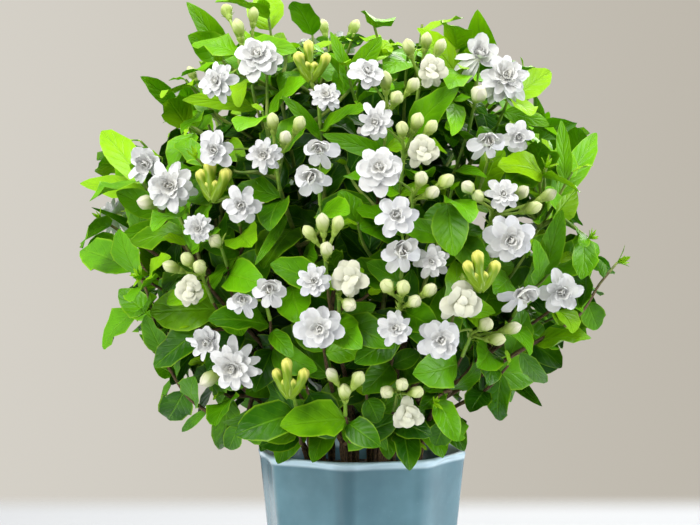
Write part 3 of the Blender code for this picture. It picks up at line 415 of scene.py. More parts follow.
class Room:
    # What is placed so far, as closed shapes that a new one has to clear

    def __init__(self):
        self.trees = []
        self.owners = []
        self.lows = np.zeros((0, 3))
        self.highs = np.zeros((0, 3))

    def clear(self, shapes, skip=None):
        for points, faces in shapes:
            low = points.min(axis=0)
            high = points.max(axis=0)
            near = np.all((self.lows < high) & (self.highs > low), axis=1)
            tree = None
            for index in np.flatnonzero(near):
                if self.owners[index] == skip:
                    continue
                tree = tree or BVHTree.FromPolygons(points.tolist(), faces)
                if tree.overlap(self.trees[index]):
                    return False
        return True

    def add(self, owner, shapes):
        for points, faces in shapes:
            self.trees.append(BVHTree.FromPolygons(points.tolist(), faces))
            self.owners.append(owner)
            self.lows = np.vstack([self.lows, points.min(axis=0)])
            self.highs = np.vstack([self.highs, points.max(axis=0)])


# Layout of the flower sprays


def bloomAt(place, width, opened, draw):
    # A bloom faces away from the crown, and one on the front turns part of the way to the eye
    facing = crownNormal(place)
    toEye = unit(crown["eye"] - place)
    if place[1] < flower["frontTo"]:
        facing = unit(0.45 * facing + 0.55 * toEye)
    tilt = np.array([draw.uniform(-0.22, 0.22) for _ in range(3)])
    return dict(
        centre=place, axis=unit(facing + tilt), radius=width / 2, opened=opened, turn=draw.uniform(0, 6.28)
    )


def budAt(place, long, draw):
    size = draw.uniform(0.92, 1.08)
    radius, length = flower["goldBud"] if long else flower["roundBud"]
    return dict(place=place, radius=radius * size, length=length * size, long=long, swell=1.0)


def laySpray(blooms, buds):
    # Gives a spray its joint, where the stalks meet, and its root, where it leaves the twig
    settle(blooms, buds)
    places = np.array([bloom["centre"] for bloom in blooms] + [bud["place"] for bud in buds])
    middle = places.mean(axis=0)
    outward = crownNormal(middle)
    inward, down = stalk["underBlooms"] if blooms else stalk["underBuds"]
    joint = middle - inward * outward - down * upward
    heading = unit(0.55 * outward + 0.83 * upward)
    root = joint - (stalk["root"] + stalk["step"] * len(places)) * heading
    for rank, member in enumerate(blooms + buds):
        member["root"] = joint - rank * stalk["step"] * heading
    for bud in buds:
        bud["axis"] = unit(bud["place"] - bud["root"])
    return dict(blooms=blooms, buds=buds, joint=joint, root=root, heading=heading)


def settle(blooms, buds):
    # Slides the members of a spray back along the line of sight until none crosses another
    room = Room()
    for member in sorted(blooms, key=lambda bloom: -bloom["radius"]) + buds:
        spot = "centre" if "centre" in member else "place"
        sight = unit(member[spot] - crown["eye"])
        for _ in range(9):
            if spot == "centre":
                shape = bloomProxy(member)
            else:
                half = 0.5 * member["length"] * upward
                shape = tubeShape([member["place"] - half, member["place"] + half], [member["radius"]] * 2)
            if room.clear([shape]):
                break
            member[spot] = member[spot] + 3 * mm * sight
        room.add("member", [shape])


def frontSpray(plan, forward, draw):
    blooms = []
    for across, height, width, kind in plan.get("open", []):
        place = onCrown(across, height, 3 * mm + forward)
        blooms.append(bloomAt(place, width * mm * nearness(place), 1.0, draw))
        blooms[-1]["kind"] = kind
    for across, height, width in plan.get("half", []):
        place = onCrown(across, height, forward)
        blooms.append(bloomAt(place, 1.12 * width * mm * nearness(place), 0.0, draw))
    buds = []
    for x, z, *swell in plan.get("buds", []):
        buds.append(dict(budAt(onCrown(x, z, forward), False, draw), swell=(swell or [1.0])[0]))
    buds += [budAt(onCrown(x, z, forward), True, draw) for x, z in plan.get("gold", [])]
    return laySpray(blooms, buds)


def backSpray(turn, height, forward, draw):
    # One or two blooms and two buds round a point of the crown's far side
    middle = onDome(turn, height, 1 + forward / 0.17)
    outward = crownNormal(middle)
    across = unit(np.cross(upward, outward))
    climb = np.cross(outward, across)
    width = draw.uniform(*flower["backWidth"]) * mm
    blooms = [bloomAt(middle - flower["backDrop"] * climb, width, 1.0, draw)]
    if draw.random() < flower["secondShare"]:
        aside = draw.choice([-flower["secondAside"], flower["secondAside"]]) * mm
        second = middle - flower["secondDrop"] * climb + aside * across
        blooms.append(bloomAt(second, flower["secondWidth"], draw.choice([0.0, 1.0]), draw))
    above = middle + flower["backBudsUp"] * climb
    asides = [flower["backBudsAside"] * step * across for step in (-1, 1)]
    return laySpray(blooms, [budAt(above + aside, False, draw) for aside in asides])


def bloomFoot(bloom):
    # Where the pedicel enters the back of a bloom, a little to the side that it comes from
    rim, reach, _ = bloomForm(bloom["opened"])
    under = flower["back"] + (rim - flower["back"]) * flower["footAside"] / reach
    toward = bloom["root"] - bloom["centre"]
    aside = unit(toward - (toward @ bloom["axis"]) * bloom["axis"] + 1e-6 * upward)
    return bloom["centre"] + bloom["radius"] * (under * bloom["axis"] + flower["footAside"] * aside)


def bloomForm(opened):
    # Heights of a bloom's rim and inner petals and the reach of its rim, as shares of its radius
    return 0.05 + 0.5 * (1 - opened), 0.78 + 0.22 * opened, 0.42 + 0.38 * (1 - opened)


def bloomProxy(bloom):
    r = bloom["radius"] + 2 * stalk["clearance"]
    rim, reach, crest = bloomForm(bloom["opened"])
    shares = [
        (0.05, flower["back"] - 0.05),
        (reach, rim - 0.06),
        (reach, rim + 0.1),
        (0.66, crest + 0.05),
        (0.05, crest + 0.05),
    ]
    profile = [(across * r, height * r) for across, height in shares]
    return turnedShape(bloom["centre"], bloom["axis"], profile, 9)


def sprayShapes(spray):
    grow = stalk["clearance"]
    shapes = [tubeShape([spray["root"], spray["joint"]], [stalk["radius"] + grow] * 2)]
    for bloom in spray["blooms"]:
        shapes.append(bloomProxy(bloom))
        shapes.append(tubeShape([bloom["root"], bloomFoot(bloom)], [stalk["pedicel"] + grow] * 2))
    for bud in spray["buds"]:
        shapes.append(budShape(bud, grow))
    return shapes


def budShape(bud, grow=0.0):
    # Radius and distance along a bud from its centre: a stalk that widens to the cup, then the bud
    rings = [(0.62, -0.36), (1.0, 0.18)] if bud["long"] else [(0.8, -0.32), (0.9, 0.2)]
    profile = [(share * bud["radius"] + grow, place * bud["length"]) for share, place in rings]
    back = -np.linalg.norm(bud["place"] - bud["root"])
    profile = [(stalk["pedicel"] + grow, back)] + profile + [(grow, 0.5 * bud["length"] + grow)]
    return turnedShape(bud["place"], bud["axis"], profile, 6)


# Layout of the stems


def bezier(start, leave, arrive, end, count):
    t = np.linspace(0, 1, count)[:, None]
    return (1 - t) ** 3 * start + 3 * t * (1 - t) ** 2 * leave + 3 * t**2 * (1 - t) * arrive + t**3 * end


def throughPoints(points, count):
    # A smooth line through the points, with its slope at each from its neighbours
    points = np.asarray(points)
    slope = np.gradient(points, axis=0)
    pieces = []
    for i in range(len(points) - 1):
        leave = points[i] + slope[i] / 3
        arrive = points[i + 1] - slope[i + 1] / 3
        pieces.append(bezier(points[i], leave, arrive, points[i + 1], count)[:-1])
    return np.vstack(pieces + [points[-1:]])


def soilPlace(stem, middles):
    # A stem's hole, on the side that it leans to, nearer the rim the lower it leans
    middle = middles[stem]
    turn = math.atan2(middle[1], middle[0] - 0.2 * crown["centre"][0])
    lean = math.hypot(middle[0], middle[1]) / max(middle[2] - pot["height"], 0.03)
    spread = soil["holeFar"] - soil["holeNear"]
    ring = soil["holeNear"] + spread * min(lean, soil["fullLean"]) / soil["fullLean"]
    return np.array([ring * math.cos(turn), ring * math.sin(turn)])


def spreadHoles(places, apart):
    # Pushes holes that crowd each other apart, a little at a time
    places = places.copy()
    for _ in range(200):
        for i in range(len(places)):
            for j in range(i):
                between = places[i] - places[j]
                distance = max(np.linalg.norm(between), 1e-6)
                if distance < apart:
                    push = between / distance * (apart - distance) * 0.3
                    places[i] += push
                    places[j] -= push
        reach = np.linalg.norm(places, axis=1)
        far = reach > soil["holeReach"]
        places[far] *= (soil["holeReach"] / reach[far])[:, None]
    return places


def layStems(ends, room, draw):
    # One main line from the soil to each stem's highest end, and a side twig to each other end
    middles = {stem: np.mean([end["root"] for end in ends[stem]], axis=0) for stem in ends}
    order = sorted(middles)
    holes = np.array([soilPlace(stem, middles) for stem in order])
    holes = spreadHoles(holes, soil["holeSpacing"])
    soilTop = pot["height"] - soil["drop"]
    stems = []
    for stem, hole in zip(order, holes):
        targets = sorted(ends[stem], key=lambda end: -end["root"][2] + (0.2 if end["via"] else 0))
        ground = np.array([hole[0], hole[1], soilTop])
        own = f"stem{stem}"
        lines = []
        for rank, end in enumerate(targets):
            for attempt in range(wood["tries"]):
                loose = attempt / wood["tries"]
                if rank == 0:
                    line, radii = mainLine(ground, end, loose, draw)
                else:
                    line, radii = sideLine(lines[0]["path"], end, loose, draw)
                shape, inPot = openPart(line, radii)
                if inPot and room.clear([shape], skip=own):
                    break
            else:
                print("no clear way for a twig of stem", stem, "to", np.round(end["root"] / mm))
            room.add(own, [shape])
            lines.append(dict(path=line, radii=radii, shoot=end["via"] is not None))
        stems.append(dict(name=f"stem_{stem:02d}", number=stem, lines=lines, leaves=[]))
    return stems


def openPart(line, radii):
    # A twig's part above the pot, a little oversize, and whether the rest stays inside the pot
    spots = np.linspace(0, len(line) - 1, 5 * len(line))
    fine = np.array([np.interp(spots, range(len(line)), line[:, k]) for k in range(3)]).T
    thick = np.interp(spots, range(len(line)), radii) + wood["clearance"]
    below = fine[:, 2] < pot["height"] + 2 * mm
    inPot = bool(np.all(np.hypot(fine[below, 0], fine[below, 1]) < soil["rimInside"]))
    return tubeShape(fine[~below], thick[~below]), inPot


def mainLine(ground, end, loose, draw):
    # From the root in the soil to the end. The looser it is, the further it may sway and bend
    tip = end["root"] - soil["gap"] * end["heading"]
    length = np.linalg.norm(tip - ground)
    sway = np.array([draw.uniform(-1, 1), draw.uniform(-1, 1), 0]) * wood["mainSway"] * mm * loose
    leave = ground + upward * length * (0.4 - 0.25 * loose * draw.random()) + sway * 0.6
    arrive = tip - end["heading"] * length * (0.28 + 0.2 * loose * draw.random()) + sway * 0.4
    path = bezier(ground, leave, arrive, tip, wood["mainPoints"])
    radii = np.linspace(wood["stem"], wood["twig"], wood["mainPoints"])
    return np.vstack([ground - upward * soil["rootDepth"], path]), [wood["stem"]] + radii.tolist()


def sideLine(main, end, loose, draw):
    # From the point of the main line that is the cheapest start, through the end's own points if it has any
    tip = end["root"] - soil["gap"] * end["heading"]
    upper = main[2:-1]
    reach = np.linalg.norm(upper[:, :2] - tip[:2], axis=1)
    drop = tip[2] - upper[:, 2]
    cost = abs(drop - 0.75 * reach) + 0.25 * reach
    cost = cost + np.array([loose * draw.random() * 0.12 for _ in upper])
    pick = int(np.argmin(cost))
    start = upper[pick]
    if end["via"]:
        path = throughPoints([start, *end["via"], tip], 2)
        return path, np.linspace(wood["fork"], wood["twig"], len(path)).tolist()
    forward = unit(upper[min(pick + 1, len(upper) - 1)] - main[pick + 1])
    length = np.linalg.norm(tip - start)
    sway = np.array([draw.uniform(-1, 1) for _ in range(3)]) * wood["sideSway"] * mm * loose
    leave = start + unit(forward + unit(tip - start)) * length * 0.35 + sway
    arrive = tip - end["heading"] * length * 0.3 + sway * 0.5
    path = bezier(start, leave, arrive, tip, wood["sidePoints"])
    return path, np.linspace(wood["fork"], wood["twig"], wood["sidePoints"]).tolist()


# Layout of the leaves


def makeLeaf(root, ahead, face, length, width, draw, bend=None):
    ahead = unit(ahead)
    up = unit(face - (face @ ahead) * ahead)
    return dict(
        root=root - leafRule["root"] * ahead,
        ahead=ahead,
        up=up,
        length=length,
        width=width,
        bend=bend if bend is not None else draw.uniform(0.35, 0.95),
        fold=draw.uniform(0.12, 0.32),
        wave=draw.uniform(0.04, 0.12),
        phase=draw.uniform(0, 6.28),
    )


def leafMiddle(leaf):
    return leaf["root"] + 0.5 * leaf["length"] * leaf["ahead"]


def placePlanned(stems, room, draw):
    # Each planned leaf grows from a twig near its root and ends at its tip, where that is clear
    placed = 0
    samples = []
    for index, stem in enumerate(stems):
        for line in stem["lines"]:
            path = line["path"][2:] if line is stem["lines"][0] else line["path"][1:]
            for first, last in zip(path[:-1], path[1:]):
                for share in (0, 0.25, 0.5, 0.75):
                    samples.append((index, first + share * (last - first)))
    points = np.array([point for _, point in samples])
    seenX, seenZ = seenAt(points)
    for (rootX, rootZ), (tipX, tipZ), width, *shade in leafPlan:
        off = np.hypot(seenX - rootX * mm, seenZ - rootZ * mm)
        tries = []
        for proud in leafRule["plannedDepths"]:
            tip = onCrown(tipX, tipZ, proud * mm)
            cost = off + 0.4 * np.linalg.norm(points - tip, axis=1)
            tries += [(tip, *samples[pick]) for pick in np.argsort(cost)[:3]]
        for tip, index, root in tries:
            ahead = tip - root
            length = np.linalg.norm(ahead)
            if not leafRule["plannedLength"][0] < length < leafRule["plannedLength"][1]:
                continue
            roll = np.array([draw.uniform(-0.35, 0.35), 0, draw.uniform(-0.35, 0.35)])
            face = unit(crown["eye"] - tip) + 0.35 * upward + roll
            wide = width * mm * nearness(tip)
            leaf = makeLeaf(root, ahead, face, length * 1.02, wide, draw, leafRule["plannedBend"])
            raiseLeaf(leaf)
            if tryLeaf(leaf, stems[index], room):
                leaf.update(leafMoods[shade[0] if shade else "plain"])
                placed += 1
                break
    return placed


def raiseLeaf(leaf):
    # Lifts a leaf's heading, so that its tip comes back to its place when the leaf bends
    leaf["ahead"] = unit(leaf["ahead"] + 0.5 * leaf["bend"] * leaf["up"])
    leaf["up"] = unit(leaf["up"] - (leaf["up"] @ leaf["ahead"]) * leaf["ahead"])


def tryLeaf(leaf, stem, room, fits=None):
    # Adds a leaf to its stem if it fits and is clear of everything but the wood of that stem
    shape = leafShape(leaf, soil["gap"])
    if (fits and not fits(shape[0])) or not room.clear([shape], skip=f"stem{stem['number']}"):
        return False
    room.add("leaf", [shape])
    stem["leaves"].append(leaf)
    return True


def sideways(along, turn):
    # A direction square to a twig, at a turn about it
    across = unit(np.cross(along, [0.6, 0.3, 0.74]))
    return math.cos(turn) * across + math.sin(turn) * np.cross(along, across)


def pairPlaces(line, first, spacing, leafyShare):
    # Places of leaf pairs along a twig, measured back from its tip
    path = line["path"]
    steps = np.linalg.norm(np.diff(path[::-1], axis=0), axis=1)
    run = np.concatenate([[0], np.cumsum(steps)])
    total = run[-1]
    places = []
    distance = first
    while distance < leafyShare * total:
        point = np.array([np.interp(distance, run, path[::-1][:, k]) for k in range(3)])
        before = np.array([np.interp(distance + 4 * mm, run, path[::-1][:, k]) for k in range(3)])
        places.append((point, unit(point - before)))
        distance += spacing
    return places


def placePairs(stems, room, limit, draw, rule=leafRule, fits=None):
    # Opposite pairs along every twig, each a quarter turn from the last, the barest places first
    nodes = []
    for stem in stems:
        for line in stem["lines"]:
            turn = draw.uniform(0, math.pi)
            spacing = draw.uniform(*rule["pairSpacing"]) * mm
            first = draw.uniform(*rule["firstPair"]) * mm
            places = pairPlaces(line, first, spacing, rule["leafyShare"])
            for rank, (point, along) in enumerate(places):
                if point[2] > rule["floor"]:
                    nodes.append((stem, point, along, turn + rank * math.pi / 2))
    points = np.array([node[1] for node in nodes])
    bare = np.full(len(nodes), np.inf)
    placed = [leaf for stem in stems for leaf in stem["leaves"]]
    for leaf in placed:
        bare = np.minimum(bare, np.linalg.norm(points - leafMiddle(leaf), axis=1))
    count = len(placed)

    def allowed(corners):
        above = corners[:, 2].min() >= pot["height"] + rule["aboveRim"]
        return above and (fits is None or fits(corners))

    while count < limit and bare.max() > 0:
        pick = int(np.argmax(bare))
        bare[pick] = 0
        stem, point, along, turn = nodes[pick]
        outward = crownNormal(point)
        for half in (0, math.pi):
            length = draw.uniform(*rule["pairLength"]) * mm
            for attempt in range(rule["pairTries"]):
                swing = rule["pairSwing"] * attempt * (1 if attempt % 2 else -1)
                away = sideways(along, turn + half + swing)
                opening = draw.uniform(*rule["pairOpening"])
                ahead = unit(math.cos(opening) * along + math.sin(opening) * away + 0.3 * outward)
                tilt = np.array([draw.uniform(-1, 1) for _ in range(3)])
                face = 0.7 * outward + 0.55 * upward + 0.25 * tilt
                size = length * (1 - rule["pairShrink"] * attempt)
                leaf = makeLeaf(point, ahead, face, size, size * draw.uniform(*rule["pairWidth"]), draw)
                if tryLeaf(leaf, stem, room, allowed):
                    bare = np.minimum(bare, np.linalg.norm(points - leafMiddle(leaf), axis=1))
                    count += 1
                    break
    return count


def layPlant():
    draw = random.Random(leafRule["seed"])
    room = Room()
    wall = [(pot["footRadius"], 0), (pot["rimRadius"], pot["height"] + soil["gap"])]
    room.add("pot", [turnedShape(np.zeros(3), upward, wall, 16)])
    sprays = []
    ends = {}
    plans = [(plan["stem"], plan) for plan in sprayPlan]
    plans += [(stem, (turn, height)) for stem, turn, height in backPlan]
    for stem, plan in plans:
        for forward in stalk["depths"]:
            state = draw.getstate()
            if isinstance(plan, dict):
                spray = frontSpray(plan, forward * mm, draw)
            else:
                spray = backSpray(plan[0], plan[1], forward * mm, draw)
            shapes = sprayShapes(spray)
            if room.clear(shapes):
                break
            draw.setstate(state)
        else:
            print("spray crowded", stem, plan)
        room.add("spray", shapes)
        spray["name"] = f"spray_{len(sprays) + 1:02d}"
        sprays.append(spray)
        end = dict(root=spray["root"], heading=spray["heading"], via=None)
        ends.setdefault(stem, []).append(end)
    for stem, points in shootPlan:
        via = [onCrown(x, z, -wood["shootInset"]) for x, z in points]
        tip = via.pop()
        before = via[-1] if via else tip - unit(0.5 * crownNormal(tip) + upward)
        heading = unit(tip - before)
        ends.setdefault(stem, []).append(dict(root=tip, heading=heading, via=via))
    for stem, turn, height in sideShootPlan:
        tip = onDome(turn, height, wood["sideShootReach"])
        heading = unit(0.5 * crownNormal(tip) + upward)
        ends.setdefault(stem, []).append(dict(root=tip, heading=heading, via=[]))
    stems = layStems(ends, room, draw)
    print("planned leaves placed:", placePlanned(stems, room, draw), "of", len(leafPlan))
    print("leaves in all:", placePairs(stems, room, leafRule["limit"], draw))
    return sprays, stems, room


# Meshes


class Piece:
    # Gathers closed surfaces into one mesh, each with its finish, its own UV and two shades

    def __init__(self, name, finishes):
        self.name = name
        self.finishes = finishes
        self.points = []
        self.uvs = []
        self.tones = []
        self.ages = []
        self.faces = {3: [], 4: []}
        self.slots = {3: [], 4: []}
        self.total = 0

    def add(self, points, faces, uv, finish, tone=0.0, age=0.0):
        # points has a row of points for each copy, and faces count the points of one copy
        copies, count = points.shape[:2]
        offset = self.total + count * np.arange(copies)[:, None, None]
        for block in faces:
            size = block.shape[1]
            self.faces[size].append((block[None] + offset).reshape(-1, size))
            self.slots[size].append(np.full(copies * len(block), self.finishes.index(finish)))
        self.points.append(points.reshape(-1, 3))
        self.uvs.append(np.broadcast_to(uv, (copies, count, 2)).reshape(-1, 2))
        for store, shade in ((self.tones, tone), (self.ages, age)):
            shade = np.asarray(shade, float)
            shade = shade[:, None] if shade.ndim == 1 else shade
            store.append(np.broadcast_to(shade, (copies, count)).reshape(-1))
        self.total += copies * count

    def finish(self, sharp=60):
        # Makes the object. Edges that turn by more than sharp degrees aren't smoothed
        mesh = bpy.data.meshes.new(self.name)
        points = np.concatenate(self.points)
        blocks = [np.concatenate(self.faces[size]) for size in (3, 4) if self.faces[size]]
        sizes = np.concatenate([np.full(len(block), block.shape[1]) for block in blocks])
        corners = np.concatenate([block.reshape(-1) for block in blocks])
        slots = np.concatenate([np.concatenate(self.slots[size]) for size in (3, 4) if self.slots[size]])
        mesh.vertices.add(len(points))
        mesh.vertices.foreach_set("co", points.reshape(-1).astype(np.float32))
        mesh.loops.add(len(corners))
        mesh.loops.foreach_set("vertex_index", corners.astype(np.int32))
        mesh.polygons.add(len(sizes))
        mesh.polygons.foreach_set("loop_start", (np.cumsum(sizes) - sizes).astype(np.int32))
        mesh.update(calc_edges=True)
        mesh.polygons.foreach_set("material_index", slots.astype(np.int32))
        mesh.polygons.foreach_set("use_smooth", np.ones(len(sizes), bool))
        layer = mesh.uv_layers.new(name="own")
        layer.data.foreach_set("uv", np.concatenate(self.uvs)[corners].reshape(-1).astype(np.float32))
        for name, values in (("tone", self.tones), ("age", self.ages)):
            shade = mesh.attributes.new(name, "FLOAT", "POINT")
            shade.data.foreach_set("value", np.concatenate(values).astype(np.float32))
        for finish in self.finishes:
            mesh.materials.append(finish)
        mesh.set_sharp_from_angle(angle=math.radians(sharp))
        mesh.update()
        made = bpy.data.objects.new(self.name, mesh)
        bpy.context.scene.collection.objects.link(made)
        return made


def crossFrame(tangent):
    # Two directions square to each tangent, from the axis that the whole path runs along least
    lean = np.abs(tangent).mean(axis=0)
    guide = np.eye(3)[int(np.argmin(lean))] + [0.05, 0.03, 0.02]
    across = np.cross(tangent, guide)
    across /= np.linalg.norm(across, axis=1)[:, None]
    return across, np.cross(tangent, across)


def smoothPath(path, radii, step):
    # A cubic through the points, (1-t)^3 a + 3t(1-t)^2 b + 3t^2(1-t) c + t^3 d, cut into even steps
    fine = throughPoints(path, 12)
    run = np.concatenate([[0], np.cumsum(np.linalg.norm(np.diff(fine, axis=0), axis=1))])
    count = max(int(run[-1] / step), 3) + 1
    places = np.linspace(0, run[-1], count)
    line = np.stack([np.interp(places, run, fine[:, k]) for k in range(3)], axis=-1)
    thick = np.interp(places / run[-1] * (len(radii) - 1), np.arange(len(radii)), radii)
    return line, thick


def tube(path, radii, sides):
    # Rings round a path. The UV runs along it in centimetres
    tangent = np.gradient(path, axis=0)
    tangent /= np.linalg.norm(tangent, axis=1)[:, None]
    points = ringPoints(path, radii, *crossFrame(tangent), np.arange(sides) * math.tau / sides)
    run = np.concatenate([[0], np.cumsum(np.linalg.norm(np.diff(path, axis=0), axis=1))])
    return ringSurface(points, sides, run / (10 * mm))


def turned(centre, axis, profile, sides, ripple=0.0, swirl=0.0, folds=5, turn=0.0):
    # radius(s) (1 + ripple cos(folds (a - swirl s))) turned round the axis at height(s)
    radii, heights = np.asarray(profile).T
    angle = turn + np.arange(sides) * math.tau / sides
    share = np.linspace(0, 1, len(radii))[:, None]
    wave = np.cos(folds * (angle[None] - swirl * share)) * np.sin(math.pi * share)
    path = centre + heights[:, None] * axis
    frame = crossFrame(np.asarray(axis)[None])
    points = ringPoints(path, radii[:, None] * (1 + ripple * wave), *frame, angle)
    return ringSurface(points, sides, share[:, 0])


def ringSurface(points, sides, along):
    # Points, faces and UV of closed rings. The UV runs round each ring, and along says how far on each is
    count = len(along)
    faces = ringFaces(count, sides, count * sides, count * sides + 1)
    uv = np.stack(np.broadcast_arrays(np.arange(sides)[None] / sides, along[:, None]), axis=-1)
    uv = np.vstack([uv.reshape(-1, 2), [0.5, 0], [0.5, along[-1]]])
    return points[None], outward(points, faces), uv


def outward(points, faces):
    # Turns the faces round if the surface that they close has its inside out
    volume = 0.0
    for block in faces:
        a = points[block[:, 0]]
        for k in range(1, block.shape[1] - 1):
            volume += np.einsum("ij,ij->", a, np.cross(points[block[:, k]], points[block[:, k + 1]]))
    return faces if volume > 0 else [block[:, ::-1] for block in faces]


def bladeGrid(stations, across):
    # A thin closed blade: at each inner station a ring runs over the top and back below. The ends are points
    along = (1 - np.cos(np.linspace(0, math.pi, stations + 2)[1:-1])) / 2
    top = np.linspace(-1, 1, across)
    ring = np.concatenate([top, top[-2:0:-1]])
    side = np.concatenate([[0], np.ones(across - 2), [0], -np.ones(across - 2)])
    grid = dict(
        along=np.concatenate([np.repeat(along, len(ring)), [0, 1]]),
        across=np.concatenate([np.tile(ring, stations), [0, 0]]),
        side=np.concatenate([np.tile(side, stations), [0, 0]]),
    )
    total = stations * len(ring)
    grid["faces"] = ringFaces(stations, len(ring), total, total + 1)
    grid["uv"] = np.stack([grid["across"] / 2 + 0.5, grid["along"]], axis=-1)
    return grid


def blades(shape, grid, outline, thickness):
    # Spine: root + L sin(bs)/b ahead - L (1 - cos(bs))/b up. Each side rises by fold and cup, with waves
    s = grid["along"][None]
    t = grid["across"][None]
    bend = shape["bend"][:, None]
    length = shape["length"][:, None]
    turn = bend * s
    reach = length * np.sin(turn) / bend
    droop = length * (1 - np.cos(turn)) / bend
    ahead = shape["ahead"][:, None]
    up = shape["up"][:, None]
    side = np.cross(shape["ahead"], shape["up"])[:, None]
    normal = np.cos(turn)[..., None] * up + np.sin(turn)[..., None] * ahead
    half = shape["width"][:, None] / 2 * outline(s)
    twist = shape["twist"][:, None] * s
    edge = np.sqrt(t**2 + 0.01) - 0.1
    rise = edge * half * np.sin(shape["fold"][:, None]) + shape["cup"][:, None] * t**2 * half
    phase = shape["phase"][:, None]
    rise = rise + t**2 * half * shape["wave"][:, None] * np.sin(9 * s + phase + t)
    rise = rise + t**4 * half * shape["ripple"][:, None] * np.sin(23 * s + 3 * phase + 2 * t)
    spread = t * half * np.cos(shape["fold"][:, None])
    body = np.sqrt(np.clip(1 - 0.8 * t**2, 0, 1)) * np.clip(8 * s * (1 - s), 0, 1)
    lift = grid["side"][None] * thickness / 2 * body
    x = spread * np.cos(twist) - rise * np.sin(twist)
    z = spread * np.sin(twist) + rise * np.cos(twist) + lift
    spine = shape["root"][:, None] + reach[..., None] * ahead - droop[..., None] * up
    return spine + x[..., None] * side + z[..., None] * normal


bladeKeys = ["root", "ahead", "up", "length", "width", "bend", "fold", "wave", "phase"]


def blade(root, ahead, up, length, width, bend, fold=0.1, wave=0.0, phase=0.0):
    return dict(zip(bladeKeys, [root, ahead, up, length, width, bend, fold, wave, phase]))


def stacked(items, **others):
    # One array for each key of a list of blades, with zeros for the keys that a plain one lacks
    shape = {key: np.array([item[key] for item in items], float) for key in bladeKeys}
    for key in ("cup", "twist", "ripple"):
        shape[key] = np.array([item.get(key, others.get(key, 0.0)) for item in items], float)
    return shape


def addBlades(piece, shape, grid, outline, thickness, finish, tone, age):
    points = blades(shape, grid, outline, thickness)
    faces = outward(points[0], grid["faces"])
    piece.add(points, faces, grid["uv"], finish, tone, age)


# Materials


class Socket:
    # A socket of a node tree: Python's operators on it add Math nodes

    def __init__(self, painter, socket):
        self.painter = painter
        self.socket = socket

    def maths(self, operation, *values):
        inputs = dict(enumerate(values))
        return self.painter.node("ShaderNodeMath", dict(operation=operation), inputs)

    def __abs__(self):
        return self.maths("ABSOLUTE", self)

    def fraction(self):
        return self.maths("FRACT", self)

    def larger(self, other):
        return self.maths("MAXIMUM", self, other)

    def sine(self):
        return self.maths("SINE", self)

    def between(self, low, high):
        # 0 below low, 1 above high, and a smooth step from one to the other
        inputs = {0: self, 1: low, 2: high, 3: 0.0, 4: 1.0}
        return self.painter.node("ShaderNodeMapRange", dict(interpolation_type="SMOOTHSTEP"), inputs)


def operator(operation, swapped):
    if swapped:
        return lambda self, other: self.maths(operation, other, self)
    return lambda self, other: self.maths(operation, self, other)


signs = dict(add="ADD", sub="SUBTRACT", mul="MULTIPLY", truediv="DIVIDE", pow="POWER")
for sign, operation in signs.items():
    setattr(Socket, f"__{sign}__", operator(operation, False))
    setattr(Socket, f"__r{sign}__", operator(operation, True))


class Painter:
    # Builds one node tree. node() adds any node: its settings, then the values or links of its inputs

    def __init__(self, owner):
        owner.use_nodes = True
        self.owner = owner
        self.tree = owner.node_tree

    def node(self, kind, settings=None, inputs=None, output=0):
        made = self.tree.nodes.new(kind)
        for name, value in (settings or {}).items():
            setattr(made, name, value)
        for name, value in (inputs or {}).items():
            self.feed(made.inputs[name], value)
        return Socket(self, made.outputs[output])

    def feed(self, socket, value):
        if isinstance(value, Socket):
            self.tree.links.new(value.socket, socket)
        elif isinstance(value, tuple) and len(value) == 3 and socket.type == "RGBA":
            socket.default_value = (*value, 1)
        else:
            socket.default_value = value

    def place(self):
        return self.node("ShaderNodeTexCoord", output=3)

    def parts(self, vector):
        made = self.node("ShaderNodeSeparateXYZ", None, {0: vector})
        return [Socket(self, output) for output in made.socket.node.outputs]

    def uv(self):
        return self.parts(self.node("ShaderNodeUVMap", dict(uv_map="own")))[:2]

    def shade(self, name):
        return self.node("ShaderNodeAttribute", dict(attribute_name=name), output=2)

    def noise(self, where, scale, detail=3.0, roughness=0.55):
        inputs = dict(Vector=where, Scale=scale, Detail=detail, Roughness=roughness)
        return self.node("ShaderNodeTexNoise", None, inputs)

    def mix(self, share, first, second):
        return self.node("ShaderNodeMix", dict(data_type="RGBA"), {0: share, 6: first, 7: second}, output=2)

    def bump(self, height, strength, distance):
        inputs = dict(Height=height, Strength=strength, Distance=distance)
        return self.node("ShaderNodeBump", None, inputs)

    def finish(self, **inputs):
        shader = self.tree.nodes["Principled BSDF"]
        for name, value in inputs.items():
            self.feed(shader.inputs[name.replace("_", " ")], value)
        return self.owner


def newPainter(name):
    return Painter(bpy.data.materials.new(name))


